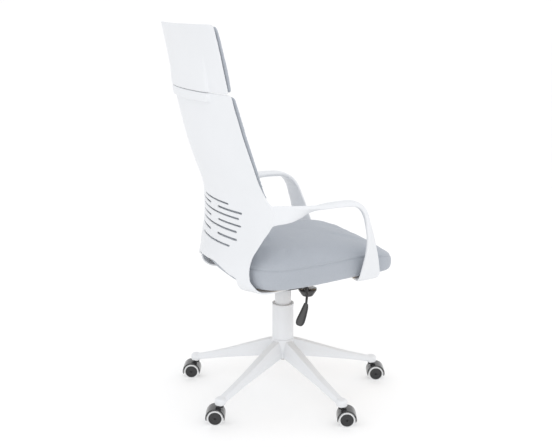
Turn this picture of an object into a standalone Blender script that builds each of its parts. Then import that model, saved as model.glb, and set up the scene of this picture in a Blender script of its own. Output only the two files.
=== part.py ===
"""Swivel office chair with a one-piece white frame back, loop arms and a five-leg base.

The chair faces -Y, +Z is up and the floor is z = 0. Every size below is in metres.
Pieces are drawn about the gas lift's axis and then moved so that the whole chair is
centred on the origin.
"""

import math

import bmesh
import bpy
import numpy as np
from mathutils import Matrix, Vector

# ---------------------------------------------------------------- shared fits
GAP = 0.0003  # between pieces that stand still against each other
RUN = 0.0003  # round anything that turns or slides
PLAY = 0.0006  # beside a turning wheel
COLUMN_X = 0.0135  # gas lift's axis, from the centre of the whole chair
COLUMN_Y = 0.0092

# ---------------------------------------------------------------- star base
WHEEL_R = 0.025  # the casters' height sets where the legs end
LEGS = 5
FIRST_LEG_DEG = -26.2
STEM_CIRCLE_R = 0.309
HUB_R = 0.035
HUB_TOP = 0.181
HUB_FOOT = 0.117
TUBE_FOOT = 0.110
LEG_ROOT_HALF = 0.021
LEG_ROOT_RIDGE = 0.012
LEG_TIP_HALF = 0.0145
LEG_TIP_RIDGE = 0.009
SOCKET_R = 0.0165
SOCKET_FOOT = 2 * WHEEL_R + 0.011
LEG_TIP_FOOT = SOCKET_FOOT + 0.005
LEG_TIP_TOP = SOCKET_FOOT + 0.022

# ---------------------------------------------------------------- casters
TREAD_THICK = 0.0053
TREAD_FACETS = 16  # one flat lies on the floor
WHEEL_WIDE = 0.0175
WEB_THICK = 0.0135
HOOD_R = WHEEL_R + 0.0045
HOOD_WALL = 0.0028
HOOD_WIDE = 0.053
HOOD_BOSS_R = 0.0105
TRAIL = 0.015
AXLE_R = 0.003
STEM_R = 0.0055
STEM_TOP = SOCKET_FOOT + 0.0175
STEM_FOOT = WHEEL_R + 0.013
TRAIL_DEG = (65.0, 65.0, 65.0, 245.0, 245.0)

# ---------------------------------------------------------------- gas lift
TUBE_R = 0.0225
TUBE_WALL = 0.0018
TUBE_TOP = 0.290
TAPER_FOOT_R = 0.0175
COVER_LOW_R = 0.034
COVER_LOW_TOP = 0.2987
COVER_LOW_LIP = 0.0072
COVER_WALL = 0.0022
COVER_UP_R = 0.026
COVER_UP_FOOT = 0.190
CYLINDER_R = 0.014
CYLINDER_FOOT = 0.150
CYLINDER_TOP = 0.386
ROD_R = 0.005
ROD_TOP = 0.300
BUTTON_R = 0.004
BUTTON_FOOT = 0.379
BUTTON_TOP = 0.3915
BUTTON_TRAVEL = 0.0053

# ---------------------------------------------------------------- tilt mechanism
FLOOR_Z = 0.356
FLOOR_THICK = 0.003
WALL_TOP = 0.405
WALL_X = 0.058
WALL_THICK = 0.003
HOUSING_FRONT = -0.117
HOUSING_BACK = 0.062
FLOOR_FRONT = -0.036
NOSE_HALF = 0.0255
NOSE_WALL = 0.0022
NOSE_FOOT = 0.372  # leaves the knob room to rise as the seat tilts
SOCKET_OUT_R = 0.021
SOCKET_TOP = 0.384
PIVOT_Y = 0.036
PIVOT_Z = 0.388
PIVOT_R = 0.005
SPRING_Y = -0.088
SPRING_SEAT_Z = 0.397
SPRING_FOOT = 0.336
SPRING_R = 0.0165
SPRING_WIRE = 0.0028
SPRING_TURNS = 5
BOLT_R = 0.004
KNOB_R = 0.031
KNOB_FOOT = 0.309
KNOB_HIGH = 0.025
KNOB_LOBES = 6
PLATE_Z = 0.4145
PLATE_THICK = 0.003
PLATE_HALF = 0.100
PLATE_FRONT = -0.122
PLATE_BACK = 0.130
EAR_HALF = 0.017
EAR_FOOT = 0.377

# ---------------------------------------------------------------- height lever
LEVER_R = 0.0038
LEVER_POST = (-0.0565, -0.022, 0.3957)
LEVER_PATH = (
    (0.0045, 0.0, 0.3957),
    LEVER_POST,
    (-0.078, -0.0305, 0.3957),
    (-0.094, -0.0365, 0.382),
    (-0.104, -0.0345, 0.352),
    (-0.11275, -0.02575, 0.3145),
)
HANDLE_PATH = (
    # centre, half width, half thickness
    ((-0.1104, -0.0281, 0.3245), 0.0065, 0.0055),
    ((-0.1125, -0.0240, 0.3130), 0.0100, 0.0060),
    ((-0.1180, -0.0140, 0.2950), 0.0120, 0.0050),
    ((-0.1230, -0.0040, 0.2790), 0.0138, 0.0042),
    ((-0.1265, 0.0030, 0.2680), 0.0125, 0.0036),
    ((-0.1280, 0.0060, 0.2635), 0.0070, 0.0030),
)

# ---------------------------------------------------------------- seat
SEAT_FOOT = 0.418
BOARD_THICK = 0.012
BOARD_INSET = 0.020
SEAT_SEAM = 0.480
SEAT_CROWN = 0.535
SEAT_DROOP = 0.047  # front edge falls away under the knees
SEAT_HALF = 0.236
SEAT_OUTLINE = (
    # share of the half width, then y, from the front's middle round to the back's middle
    (0.000, -0.315),
    (0.424, -0.314),
    (0.636, -0.305),
    (0.754, -0.285),
    (0.814, -0.250),
    (0.839, -0.200),
    (0.886, -0.130),
    (0.945, -0.050),
    (0.987, 0.020),
    (1.000, 0.080),
    (0.979, 0.120),
    (0.903, 0.153),
    (0.775, 0.177),
    (0.593, 0.192),
    (0.297, 0.200),
    (0.000, 0.202),
)
DROOP_FROM_Y = -0.120
DROOP_RUN = 0.195

# ---------------------------------------------------------------- back shell
SHELL_THICK = 0.006
SPLIT_Z = 0.990
TONGUE_HALF = 0.150
TONGUE_PROUD = 0.008
TONGUE_FOOT = 0.960
TONGUE_FADE = 1.110
SHELL_HALF = 0.250
# height, rear face at the middle, curvature across, how far the edge is inside the widest
BACK_STATIONS = (
    (1.174, 0.3390, 0.63, 0.0240),
    (1.120, 0.3285, 0.64, 0.0185),
    (1.080, 0.3210, 0.64, 0.0150),
    (1.040, 0.3140, 0.65, 0.0135),
    (1.012, 0.3098, 0.68, 0.0140),
    (1.000, 0.3085, 0.70, 0.0165),
    (0.991, 0.3075, 0.72, 0.0250),
    (0.989, 0.3070, 0.72, 0.0140),
    (0.975, 0.3060, 0.76, 0.0030),
    (0.960, 0.3045, 0.77, 0.0010),
    (0.920, 0.2985, 0.86, 0.0000),
    (0.880, 0.2915, 0.94, 0.0000),
    (0.840, 0.2840, 1.04, 0.0000),
    (0.800, 0.2720, 1.09, 0.0000),
    (0.765, 0.2610, 1.09, 0.0000),
    (0.720, 0.2430, 1.09, 0.0000),
    (0.700, 0.2350, 1.09, 0.0000),
    (0.680, 0.2310, 1.09, 0.0005),
    (0.660, 0.2295, 1.09, 0.0010),
    (0.620, 0.2290, 1.09, 0.0025),
    (0.600, 0.2290, 1.09, 0.0060),
    (0.570, 0.2305, 1.09, 0.0230),
    (0.540, 0.2335, 1.09, 0.0390),
    (0.515, 0.2400, 1.10, 0.0520),
    (0.495, 0.2475, 1.41, 0.0600),
    (0.478, 0.2530, 1.67, 0.0620),
)
ARCH_FROM_X = 0.088  # the bottom edge is level inside this and curves down to the hooks outside it
ARCH_TO_X = 0.150
ARCH_DROP = 0.027
ARCH_FROM_Z = 0.530
SHELL_ROWS = (0.989, 0.975, 0.9605, 0.9580, 0.920, 0.880, 0.840, 0.800, 0.765, 0.720, 0.695, 0.675,
              0.651, 0.633, 0.6135, 0.593, 0.5715, 0.5485, 0.525, 0.505, 0.490, 0.478)
HEADREST_ROWS = (1.174, 1.150, 1.110, 1.070, 1.035, 1.012, 1.000, 0.9915)
# across the back, either side of the tongue's edge, then as a share of the rest
SHELL_INNER = (0.0, 0.036, 0.072, 0.108, 0.1485, 0.1515)
SHELL_OUTER = (0.5, 1.0)
SLOT_HIGH = 0.0052
# height, inner end, outer end: a slot that starts at 0 runs right across
SLOTS = (
    (0.660, 0.000, 0.095),
    (0.642, 0.026, 0.156),
    (0.624, 0.000, 0.142),
    (0.603, 0.026, 0.151),
    (0.583, 0.000, 0.133),
    (0.560, 0.026, 0.136),
    (0.537, 0.000, 0.108),
)
# hooks under the seat's rear corners: inner edge, then outer edge, of each row
HOOK_ROWS = (
    ((0.151, 0.216, 0.4360), (0.196, 0.185, 0.4340)),
    ((0.147, 0.203, 0.4220), (0.203, 0.176, 0.4200)),
    ((0.137, 0.187, 0.4115), (0.206, 0.163, 0.4105)),
    ((0.122, 0.157, 0.4078), (0.207, 0.140, 0.4078)),
    ((0.112, 0.110, 0.4072), (0.203, 0.105, 0.4072)),
    ((0.108, 0.070, 0.4072), (0.194, 0.066, 0.4072)),
)
HOOK_ACROSS = (0.0, 0.5, 1.0)

# ---------------------------------------------------------------- back cushions
PAD_GAP = 0.0288 * SHELL_HALF**2  # a wider sheet has longer flats to clear
# height, thickness at the middle, thickness at the edge, how far the side is inside the shell's
BACK_PAD = (
    (0.98, 0.018, 0.008, 0.0151),
    (0.97, 0.032, 0.017, 0.0077),
    (0.93, 0.036, 0.019, 0.0048),
    (0.86, 0.040, 0.019, 0.0040),
    (0.78, 0.050, 0.016, 0.0040),
    (0.72, 0.056, 0.009, 0.0050),
    (0.67, 0.058, 0.008, 0.0073),
    (0.62, 0.058, 0.010, 0.0145),
    (0.57, 0.054, 0.012, 0.0130),
    (0.5485, 0.048, 0.012, 0.0115),
    (0.533, 0.036, 0.010, 0.0134),
    (0.525, 0.022, 0.008, 0.0192),
)
PAD_ROWS = (0.980, 0.970, 0.930, 0.880, 0.840, 0.800, 0.765, 0.720, 0.695, 0.675, 0.6510, 0.633,
            0.6135, 0.593, 0.5715, 0.5485, 0.533, 0.525)
HEAD_PAD_ROWS = (1.168, 1.157, 1.110, 1.070, 1.035, 1.012, 1.001)
HEAD_PAD = (
    (1.168, 0.014, 0.007, 0.0166),
    (1.157, 0.030, 0.014, 0.0067),
    (1.11, 0.038, 0.016, 0.0054),
    (1.05, 0.038, 0.016, 0.0051),
    (1.012, 0.032, 0.014, 0.0090),
    (1.001, 0.016, 0.007, 0.0187),
)
PAD_ACROSS = (-1.0, -0.93, -0.7, -0.35, 0.0, 0.35, 0.7, 0.93, 1.0)

# ---------------------------------------------------------------- arms
ARM_ROOT_Z = 0.652
ARM_ROOT_HALF = 0.031
ARM_ROOT_GAP = 0.0006
SEAT_SHARE_AT_ARM = 0.847  # of the seat's half width, where the posts stand
# centre, direction of the broad side, half width, half thickness; x is from the shell's side
ARM_TOP = (
    ((0.0060, 0.1350, 0.6525), (0.12, 0.02, 1.0), 0.0275, 0.0050),
    ((0.0080, 0.0950, 0.6550), (0.50, 0.00, 0.87), 0.0245, 0.0062),
    ((0.0075, 0.0500, 0.6600), (0.93, 0.00, 0.36), 0.0235, 0.0072),
    ((0.0060, 0.0000, 0.6640), (0.99, 0.00, 0.12), 0.0235, 0.0075),
    ((0.0060, -0.0500, 0.6670), (1.0, 0.00, 0.05), 0.0235, 0.0075),
    ((0.0055, -0.0950, 0.6660), (1.0, -0.05, 0.02), 0.0240, 0.0078),
    ((0.0050, -0.1140, 0.6620), (0.99, -0.12, 0.01), 0.0242, 0.0080),
    ((0.0040, -0.1290, 0.6525), (0.97, -0.22, 0.00), 0.0245, 0.0083),
    ((0.0020, -0.1435, 0.6365), (0.93, -0.35, 0.02), 0.0250, 0.0085),
)
# the same, with x from the seat's side
ARM_POST = (
    ((0.0500, -0.1530, 0.6180), (0.90, 0.43, 0.00), 0.0253, 0.0083),
    ((0.0480, -0.1600, 0.5960), (0.84, 0.54, 0.00), 0.0256, 0.0080),
    ((0.0445, -0.1700, 0.5620), (0.75, 0.66, 0.00), 0.0262, 0.0075),
    ((0.0370, -0.1790, 0.5150), (0.55, 0.83, 0.00), 0.0290, 0.0070),
    ((0.0260, -0.1855, 0.4650), (0.30, 0.95, 0.00), 0.0345, 0.0062),
    ((0.0180, -0.1880, 0.4300), (0.16, 0.985, 0.00), 0.0385, 0.0055),
    ((0.0110, -0.1885, 0.4170), (0.15, 0.985, 0.00), 0.0390, 0.0052),
    ((-0.0040, -0.1885, 0.4105), (0.12, 0.990, 0.00), 0.0380, 0.0048),
    ((-0.0450, -0.1885, 0.4115), (0.10, 0.995, 0.00), 0.0350, 0.0048),
)
ARM_RIB = ((-1, -0.45), (-0.8, -1), (0.8, -1), (1, -0.45), (1, 0.45), (0.8, 1), (-0.8, 1), (-1, 0.45))

MATERIALS = {
    # name: colour, roughness, metallic
    "white_nylon": ((0.86, 0.87, 0.88), 0.42, 0.0),
    "white_tread": ((0.84, 0.84, 0.84), 0.50, 0.0),
    "black_nylon": ((0.02, 0.02, 0.022), 0.25, 0.0),
    "black_steel": ((0.03, 0.03, 0.032), 0.40, 0.6),
    "bright_steel": ((0.62, 0.62, 0.63), 0.28, 1.0),
    "grey_fabric": ((0.42, 0.45, 0.49), 0.90, 0.0),
    "birch_ply": ((0.62, 0.47, 0.30), 0.65, 0.0),
}


# ---------------------------------------------------------------- shape helpers
def clear_scene():
    for old in list(bpy.data.objects):
        bpy.data.objects.remove(old, do_unlink=True)


def material(name):
    made = bpy.data.materials.get(name)
    if made:
        return made
    colour, roughness, metallic = MATERIALS[name]
    made = bpy.data.materials.new(name)
    made.use_nodes = True
    shader = made.node_tree.nodes["Principled BSDF"]
    shader.inputs["Base Color"].default_value = (*colour, 1.0)
    shader.inputs["Roughness"].default_value = roughness
    shader.inputs["Metallic"].default_value = metallic
    made.diffuse_color = (*colour, 1.0)
    return made


def add(name, mesh_maker, slot=None, origin=(0.0, 0.0, 0.0)):
    """One object from a bmesh drawn about the gas lift's axis. Its own origin is put at origin."""
    bmesh.ops.remove_doubles(mesh_maker, verts=mesh_maker.verts, dist=1e-6)
    bmesh.ops.recalc_face_normals(mesh_maker, faces=mesh_maker.faces)
    bmesh.ops.translate(mesh_maker, verts=mesh_maker.verts, vec=-Vector(origin))
    mesh = bpy.data.meshes.new(name)
    mesh_maker.to_mesh(mesh)
    mesh_maker.free()
    made = bpy.data.objects.new(name, mesh)
    made.location = Vector(origin) + Vector((COLUMN_X, COLUMN_Y, 0.0))
    bpy.context.scene.collection.objects.link(made)
    if slot:
        mesh.materials.append(material(slot))
    return made


def combine(target, helper, operation):
    """Cuts or joins helper into target, and leaves helper out of the model."""
    step = target.modifiers.new(helper.name, "BOOLEAN")
    step.operation = operation
    step.solver = "EXACT"
    step.object = helper
    helper.hide_render = True
    helper.display_type = "WIRE"
    helper.hide_set(True)


def rings_to_solid(rings, closed=False):
    """Skins a row of equal rings of points. The two ends are filled unless the row is closed."""
    made = bmesh.new()
    rows = [[made.verts.new(Vector(p)) for p in ring] for ring in rings]
    count = len(rows[0])
    last = len(rows) if closed else len(rows) - 1
    for i in range(last):
        near, far = rows[i], rows[(i + 1) % len(rows)]
        for j in range(count):
            k = (j + 1) % count
            made.faces.new((near[j], near[k], far[k], far[j]))
    if not closed:
        made.faces.new(rows[0])
        made.faces.new(list(reversed(rows[-1])))
    return made


def turned(profile, steps, centre=(0.0, 0.0, 0.0), to=None):
    """A closed profile of (radius, height) turned about an upright axis through centre."""
    made = bmesh.new()
    rows = []
    for radius, height in profile:
        if radius < 1e-7:
            rows.append([made.verts.new((0.0, 0.0, height))])
            continue
        turns = [2 * math.pi * n / steps for n in range(steps)]
        rows.append([made.verts.new((radius * math.cos(a), radius * math.sin(a), height)) for a in turns])
    for i in range(len(rows)):
        near, far = rows[i], rows[(i + 1) % len(rows)]
        if len(near) == 1 and len(far) == 1:
            continue
        for j in range(steps):
            k = (j + 1) % steps
            if len(near) == 1:
                made.faces.new((near[0], far[k], far[j]))
            elif len(far) == 1:
                made.faces.new((near[j], near[k], far[0]))
            else:
                made.faces.new((near[j], near[k], far[k], far[j]))
    if to is not None:
        bmesh.ops.transform(made, matrix=to, verts=made.verts)
    bmesh.ops.translate(made, verts=made.verts, vec=Vector(centre))
    return made


def tube_profile(inner, outer, foot, top):
    return ((inner, foot), (outer, foot), (outer, top), (inner, top))


def rod_profile(radius, foot, top):
    return ((0.0, foot), (radius, foot), (radius, top), (0.0, top))


def prism(outline, foot, top):
    """Straight-sided solid from (x, y) points, between two heights."""
    return rings_to_solid([[(x, y, foot) for x, y in outline], [(x, y, top) for x, y in outline]])


def box(low, high):
    (x0, y0, z0), (x1, y1, z1) = low, high
    return prism(((x0, y0), (x1, y0), (x1, y1), (x0, y1)), z0, z1)


def round_bar(path, radius, steps):
    """Bar of one radius along a bent path."""
    points = [Vector(p) for p in path]
    rings = []
    for i, point in enumerate(points):
        way = (points[min(i + 1, len(points) - 1)] - points[max(i - 1, 0)]).normalized()
        side = way.cross(Vector((0.0, 0.0, 1.0)))
        if side.length < 1e-6:
            side = Vector((1.0, 0.0, 0.0))
        side.normalize()
        up = side.cross(way)
        turns = [2 * math.pi * n / steps for n in range(steps)]
        rings.append([point + radius * (math.cos(a) * side + math.sin(a) * up) for a in turns])
    return rings_to_solid(rings)


# ---------------------------------------------------------------- the base
def leg_direction(number):
    angle = math.radians(FIRST_LEG_DEG + 360.0 / LEGS * number)
    return Vector((math.cos(angle), math.sin(angle), 0.0))


def leg_solid(number):
    out = leg_direction(number)
    side = Vector((-out.y, out.x, 0.0))
    stations = (
        # distance out, foot, top, half width at the foot, half width of the ridge
        (0.012, HUB_FOOT + 0.003, HUB_TOP - 0.004, LEG_ROOT_HALF - 0.006, LEG_ROOT_RIDGE - 0.004),
        (0.045, HUB_FOOT + 0.001, HUB_TOP - 0.008, LEG_ROOT_HALF, LEG_ROOT_RIDGE),
        (0.120, 0.104, 0.1450, 0.0190, 0.0115),
        (0.210, 0.086, 0.1110, 0.0165, 0.0100),
        (STEM_CIRCLE_R - 0.012, LEG_TIP_FOOT, LEG_TIP_TOP, LEG_TIP_HALF, LEG_TIP_RIDGE),
        (STEM_CIRCLE_R + 0.006, LEG_TIP_FOOT, LEG_TIP_TOP - 0.0015, LEG_TIP_HALF - 0.002, LEG_TIP_RIDGE - 0.001),
    )
    rings = []
    for reach, foot, top, wide, ridge in stations:
        middle = foot + 0.38 * (top - foot)
        corners = (
            (-wide + 0.003, foot), (wide - 0.003, foot), (wide, foot + 0.0025), (wide, middle),
            (ridge, top), (-ridge, top), (-wide, middle), (-wide, foot + 0.0025),
        )
        rings.append([out * reach + side * w + Vector((0.0, 0.0, z)) for w, z in corners])
    return rings_to_solid(rings)


def build_star_base():
    base = add("star_base", turned(
        ((0.0, HUB_FOOT), (HUB_R - 0.003, HUB_FOOT), (HUB_R, HUB_FOOT + 0.003),
         (HUB_R, HUB_TOP - 0.002), (HUB_R - 0.002, HUB_TOP), (0.0, HUB_TOP)), 24), "white_nylon")
    for number in range(LEGS):
        leg = add(f"leg_form_{number + 1}", leg_solid(number))
        combine(base, leg, "UNION")
        centre = leg_direction(number) * STEM_CIRCLE_R
        tip = add(f"tip_form_{number + 1}", turned(
            ((0.0, SOCKET_FOOT), (SOCKET_R - 0.001, SOCKET_FOOT), (SOCKET_R, SOCKET_FOOT + 0.001),
             (SOCKET_R, LEG_TIP_TOP - 0.006), (SOCKET_R - 0.004, LEG_TIP_TOP - 0.001),
             (0.0, LEG_TIP_TOP + 0.0008)), 14, centre))
        combine(base, tip, "UNION")
        hole = add(f"stem_hole_{number + 1}", turned(
            rod_profile(STEM_R + GAP, SOCKET_FOOT - 0.005, STEM_TOP + GAP), 12, centre))
        combine(base, hole, "DIFFERENCE")
    bore = add("hub_bore", turned(
        ((0.0, HUB_FOOT - 0.01), (TAPER_FOOT_R + 0.0006, HUB_FOOT - 0.01), (TAPER_FOOT_R + 0.0006, HUB_FOOT),
         (TUBE_R - 0.0002, HUB_TOP - 0.001), (TUBE_R + GAP, HUB_TOP + 0.01), (0.0, HUB_TOP + 0.01)), 24))
    combine(base, bore, "DIFFERENCE")


def build_casters():
    for number in range(LEGS):
        stem = leg_direction(number) * STEM_CIRCLE_R
        angle = math.radians(TRAIL_DEG[number])
        trail = Vector((math.cos(angle), math.sin(angle), 0.0))
        across = Vector((-trail.y, trail.x, 0.0))
        axle = stem + trail * TRAIL + Vector((0.0, 0.0, WHEEL_R))
        to = Matrix.Identity(4)
        to.col[0] = (*trail, 0.0)
        to.col[1] = (0.0, 0.0, 1.0, 0.0)
        to.col[2] = (*-across, 0.0)
        to @= Matrix.Rotation(math.pi / TREAD_FACETS, 4, "Z")
        tag = number + 1
        add(f"caster_stem_{tag}", turned(
            ((0.0, STEM_FOOT), (STEM_R, STEM_FOOT), (STEM_R, SOCKET_FOOT - 0.004),
             (STEM_R + 0.003, SOCKET_FOOT - 0.004), (STEM_R + 0.003, SOCKET_FOOT - GAP),
             (STEM_R, SOCKET_FOOT - GAP), (STEM_R, STEM_TOP - 0.001), (STEM_R - 0.001, STEM_TOP),
             (0.0, STEM_TOP)), 12, stem), "bright_steel", stem)
        build_hood(tag, stem, axle, trail, across)
        add(f"caster_axle_{tag}", turned(
            rod_profile(AXLE_R, -HOOD_WIDE / 2 + 0.003, HOOD_WIDE / 2 - 0.003), 12, axle, to),
            "bright_steel", axle)
        for side, letter in ((1, "a"), (-1, "b")):
            near = side * (WEB_THICK / 2 + PLAY)
            far = side * (WEB_THICK / 2 + PLAY + WHEEL_WIDE)
            core = WHEEL_R - TREAD_THICK
            edge = side * 0.0012
            rolling = WHEEL_R / math.cos(math.pi / TREAD_FACETS)
            add(f"caster_wheel_{tag}_{letter}", turned(
                ((AXLE_R + RUN, near), (core, near), (core, far - edge), (core - 0.0015, far),
                 (0.007, far + edge), (AXLE_R + RUN, far + edge)), TREAD_FACETS, axle, to), "black_nylon", axle)
            add(f"caster_tread_{tag}_{letter}", turned(
                ((core + 2 * GAP, near), (rolling, near), (rolling, far - 2 * edge),
                 (rolling - 0.002, far), (core + 2 * GAP, far)), TREAD_FACETS, axle, to),
                "white_tread", axle)


def build_hood(tag, stem, axle, trail, across):
    """Central web, a fender over the top of both wheels, and the boss that the stem turns in."""
    inner = HOOD_R - HOOD_WALL
    outline = []
    first, last, steps = -18.0, 196.0, 11
    for n in range(steps + 1):
        angle = math.radians(first + (last - first) * n / steps)
        outline.append((HOOD_R * math.cos(angle), HOOD_R * math.sin(angle)))
    for n in range(steps, -1, -1):
        angle = math.radians(first + (last - first) * n / steps)
        outline.append((inner * math.cos(angle), inner * math.sin(angle)))

    def swept(points, half):
        rings = []
        for sign in (-1, 1):
            rings.append([axle + trail * a + Vector((0.0, 0.0, b)) + across * (sign * half) for a, b in points])
        return rings_to_solid(rings)

    hood = add(f"caster_hood_{tag}", swept(outline, HOOD_WIDE / 2), "black_nylon", stem)
    web_points = []
    for n in range(14):
        angle = 2 * math.pi * n / 14
        reach = (inner + 0.001) if math.sin(angle) > -0.25 else 0.016
        web_points.append((reach * math.cos(angle), reach * math.sin(angle)))
    web = add(f"web_form_{tag}", swept(web_points, WEB_THICK / 2))
    combine(hood, web, "UNION")
    top = SOCKET_FOOT - 0.0045
    boss = add(f"boss_form_{tag}", turned(rod_profile(HOOD_BOSS_R, 2 * WHEEL_R + 0.0008, top), 16, stem))
    combine(hood, boss, "UNION")
    bore = add(f"boss_bore_{tag}", turned(rod_profile(STEM_R + RUN, STEM_FOOT - RUN, top + 0.01), 14, stem))
    combine(hood, bore, "DIFFERENCE")
    shaft = Matrix.Identity(4)
    shaft.col[0] = (*trail, 0.0)
    shaft.col[1] = (0.0, 0.0, 1.0, 0.0)
    shaft.col[2] = (*-across, 0.0)
    hole = add(f"axle_hole_{tag}", turned(rod_profile(AXLE_R + GAP, -0.02, 0.02), 12, axle, shaft))
    combine(hood, hole, "DIFFERENCE")


# ---------------------------------------------------------------- gas lift
def build_gas_lift():
    inner = TUBE_R - TUBE_WALL
    add("cylinder_tube", turned((
        (ROD_R + 0.0012, TUBE_FOOT), (TAPER_FOOT_R, TUBE_FOOT), (TAPER_FOOT_R, HUB_FOOT),
        (TUBE_R - 0.0008, HUB_TOP - 0.001), (TUBE_R - 0.0008, HUB_TOP + 0.002), (TUBE_R, HUB_TOP + 0.004),
        (TUBE_R, TUBE_TOP), (inner, TUBE_TOP), (inner, HUB_TOP + 0.004),
        (TAPER_FOOT_R - TUBE_WALL, HUB_FOOT), (TAPER_FOOT_R - TUBE_WALL, TUBE_FOOT + 0.003),
        (ROD_R + 0.0012, TUBE_FOOT + 0.003)), 24), "black_steel")
    add("thrust_bearing", turned(tube_profile(
        ROD_R + RUN, TAPER_FOOT_R - TUBE_WALL - 0.001, TUBE_FOOT + 0.003 + GAP, TUBE_FOOT + 0.009), 20),
        "bright_steel")
    add("guide_bush", turned(tube_profile(
        CYLINDER_R + RUN, inner - GAP, 0.212, TUBE_TOP - 0.002), 24), "black_nylon")
    lip = COVER_UP_R + 0.0004
    add("lift_cover_lower", turned((
        (TUBE_R + 0.0012, HUB_TOP + GAP), (COVER_LOW_R, HUB_TOP + GAP),
        (COVER_LOW_R, COVER_LOW_TOP - COVER_LOW_LIP), (COVER_LOW_R + 0.0008, COVER_LOW_TOP - COVER_LOW_LIP + 0.0008),
        (COVER_LOW_R + 0.0008, COVER_LOW_TOP - 0.0012), (COVER_LOW_R - 0.0006, COVER_LOW_TOP),
        (lip, COVER_LOW_TOP), (lip, COVER_LOW_TOP - COVER_WALL),
        (COVER_LOW_R - COVER_WALL, COVER_LOW_TOP - COVER_WALL - 0.004),
        (COVER_LOW_R - COVER_WALL, HUB_TOP + 0.004), (TUBE_R + 0.0012, HUB_TOP + 0.004)), 24), "white_nylon")
    add("piston_rod", turned((
        (0.0, TUBE_FOOT - 0.0045), (ROD_R - 0.0005, TUBE_FOOT - 0.0045), (ROD_R - 0.0005, TUBE_FOOT - 0.003),
        (ROD_R - 0.0015, TUBE_FOOT - 0.003), (ROD_R - 0.0015, TUBE_FOOT - 0.0015), (ROD_R, TUBE_FOOT - 0.0015),
        (ROD_R, ROD_TOP), (0.0, ROD_TOP)), 16), "bright_steel")
    add("retaining_clip", turned(tube_profile(
        ROD_R - 0.0011, 0.0095, TUBE_FOOT - 0.0027, TUBE_FOOT - 0.0018), 16), "bright_steel")
    add("pressure_cylinder", turned((
        (ROD_R + RUN, CYLINDER_FOOT), (CYLINDER_R, CYLINDER_FOOT), (CYLINDER_R, CYLINDER_TOP - 0.001),
        (CYLINDER_R - 0.001, CYLINDER_TOP), (BUTTON_R + RUN, CYLINDER_TOP),
        (BUTTON_R + RUN, BUTTON_FOOT - BUTTON_TRAVEL - 0.0005), (0.0, BUTTON_FOOT - BUTTON_TRAVEL - 0.0005),
        (0.0, ROD_TOP + 0.004), (CYLINDER_R - 0.0022, ROD_TOP + 0.004), (CYLINDER_R - 0.0022, CYLINDER_FOOT + 0.010),
        (ROD_R + RUN, CYLINDER_FOOT + 0.010)), 24), "black_steel")
    add("release_button", turned(
        ((0.0, BUTTON_FOOT), (BUTTON_R, BUTTON_FOOT), (BUTTON_R, BUTTON_TOP - 0.001),
         (BUTTON_R - 0.001, BUTTON_TOP), (0.0, BUTTON_TOP)), 14), "bright_steel")
    add("lift_cover_upper", turned((
        (COVER_UP_R - 0.0014, COVER_UP_FOOT), (COVER_UP_R, COVER_UP_FOOT), (COVER_UP_R, FLOOR_Z - GAP),
        (CYLINDER_R + GAP, FLOOR_Z - GAP), (CYLINDER_R + GAP, FLOOR_Z - 0.003),
        (COVER_UP_R - 0.0014, FLOOR_Z - 0.003)), 24), "white_nylon")


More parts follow.
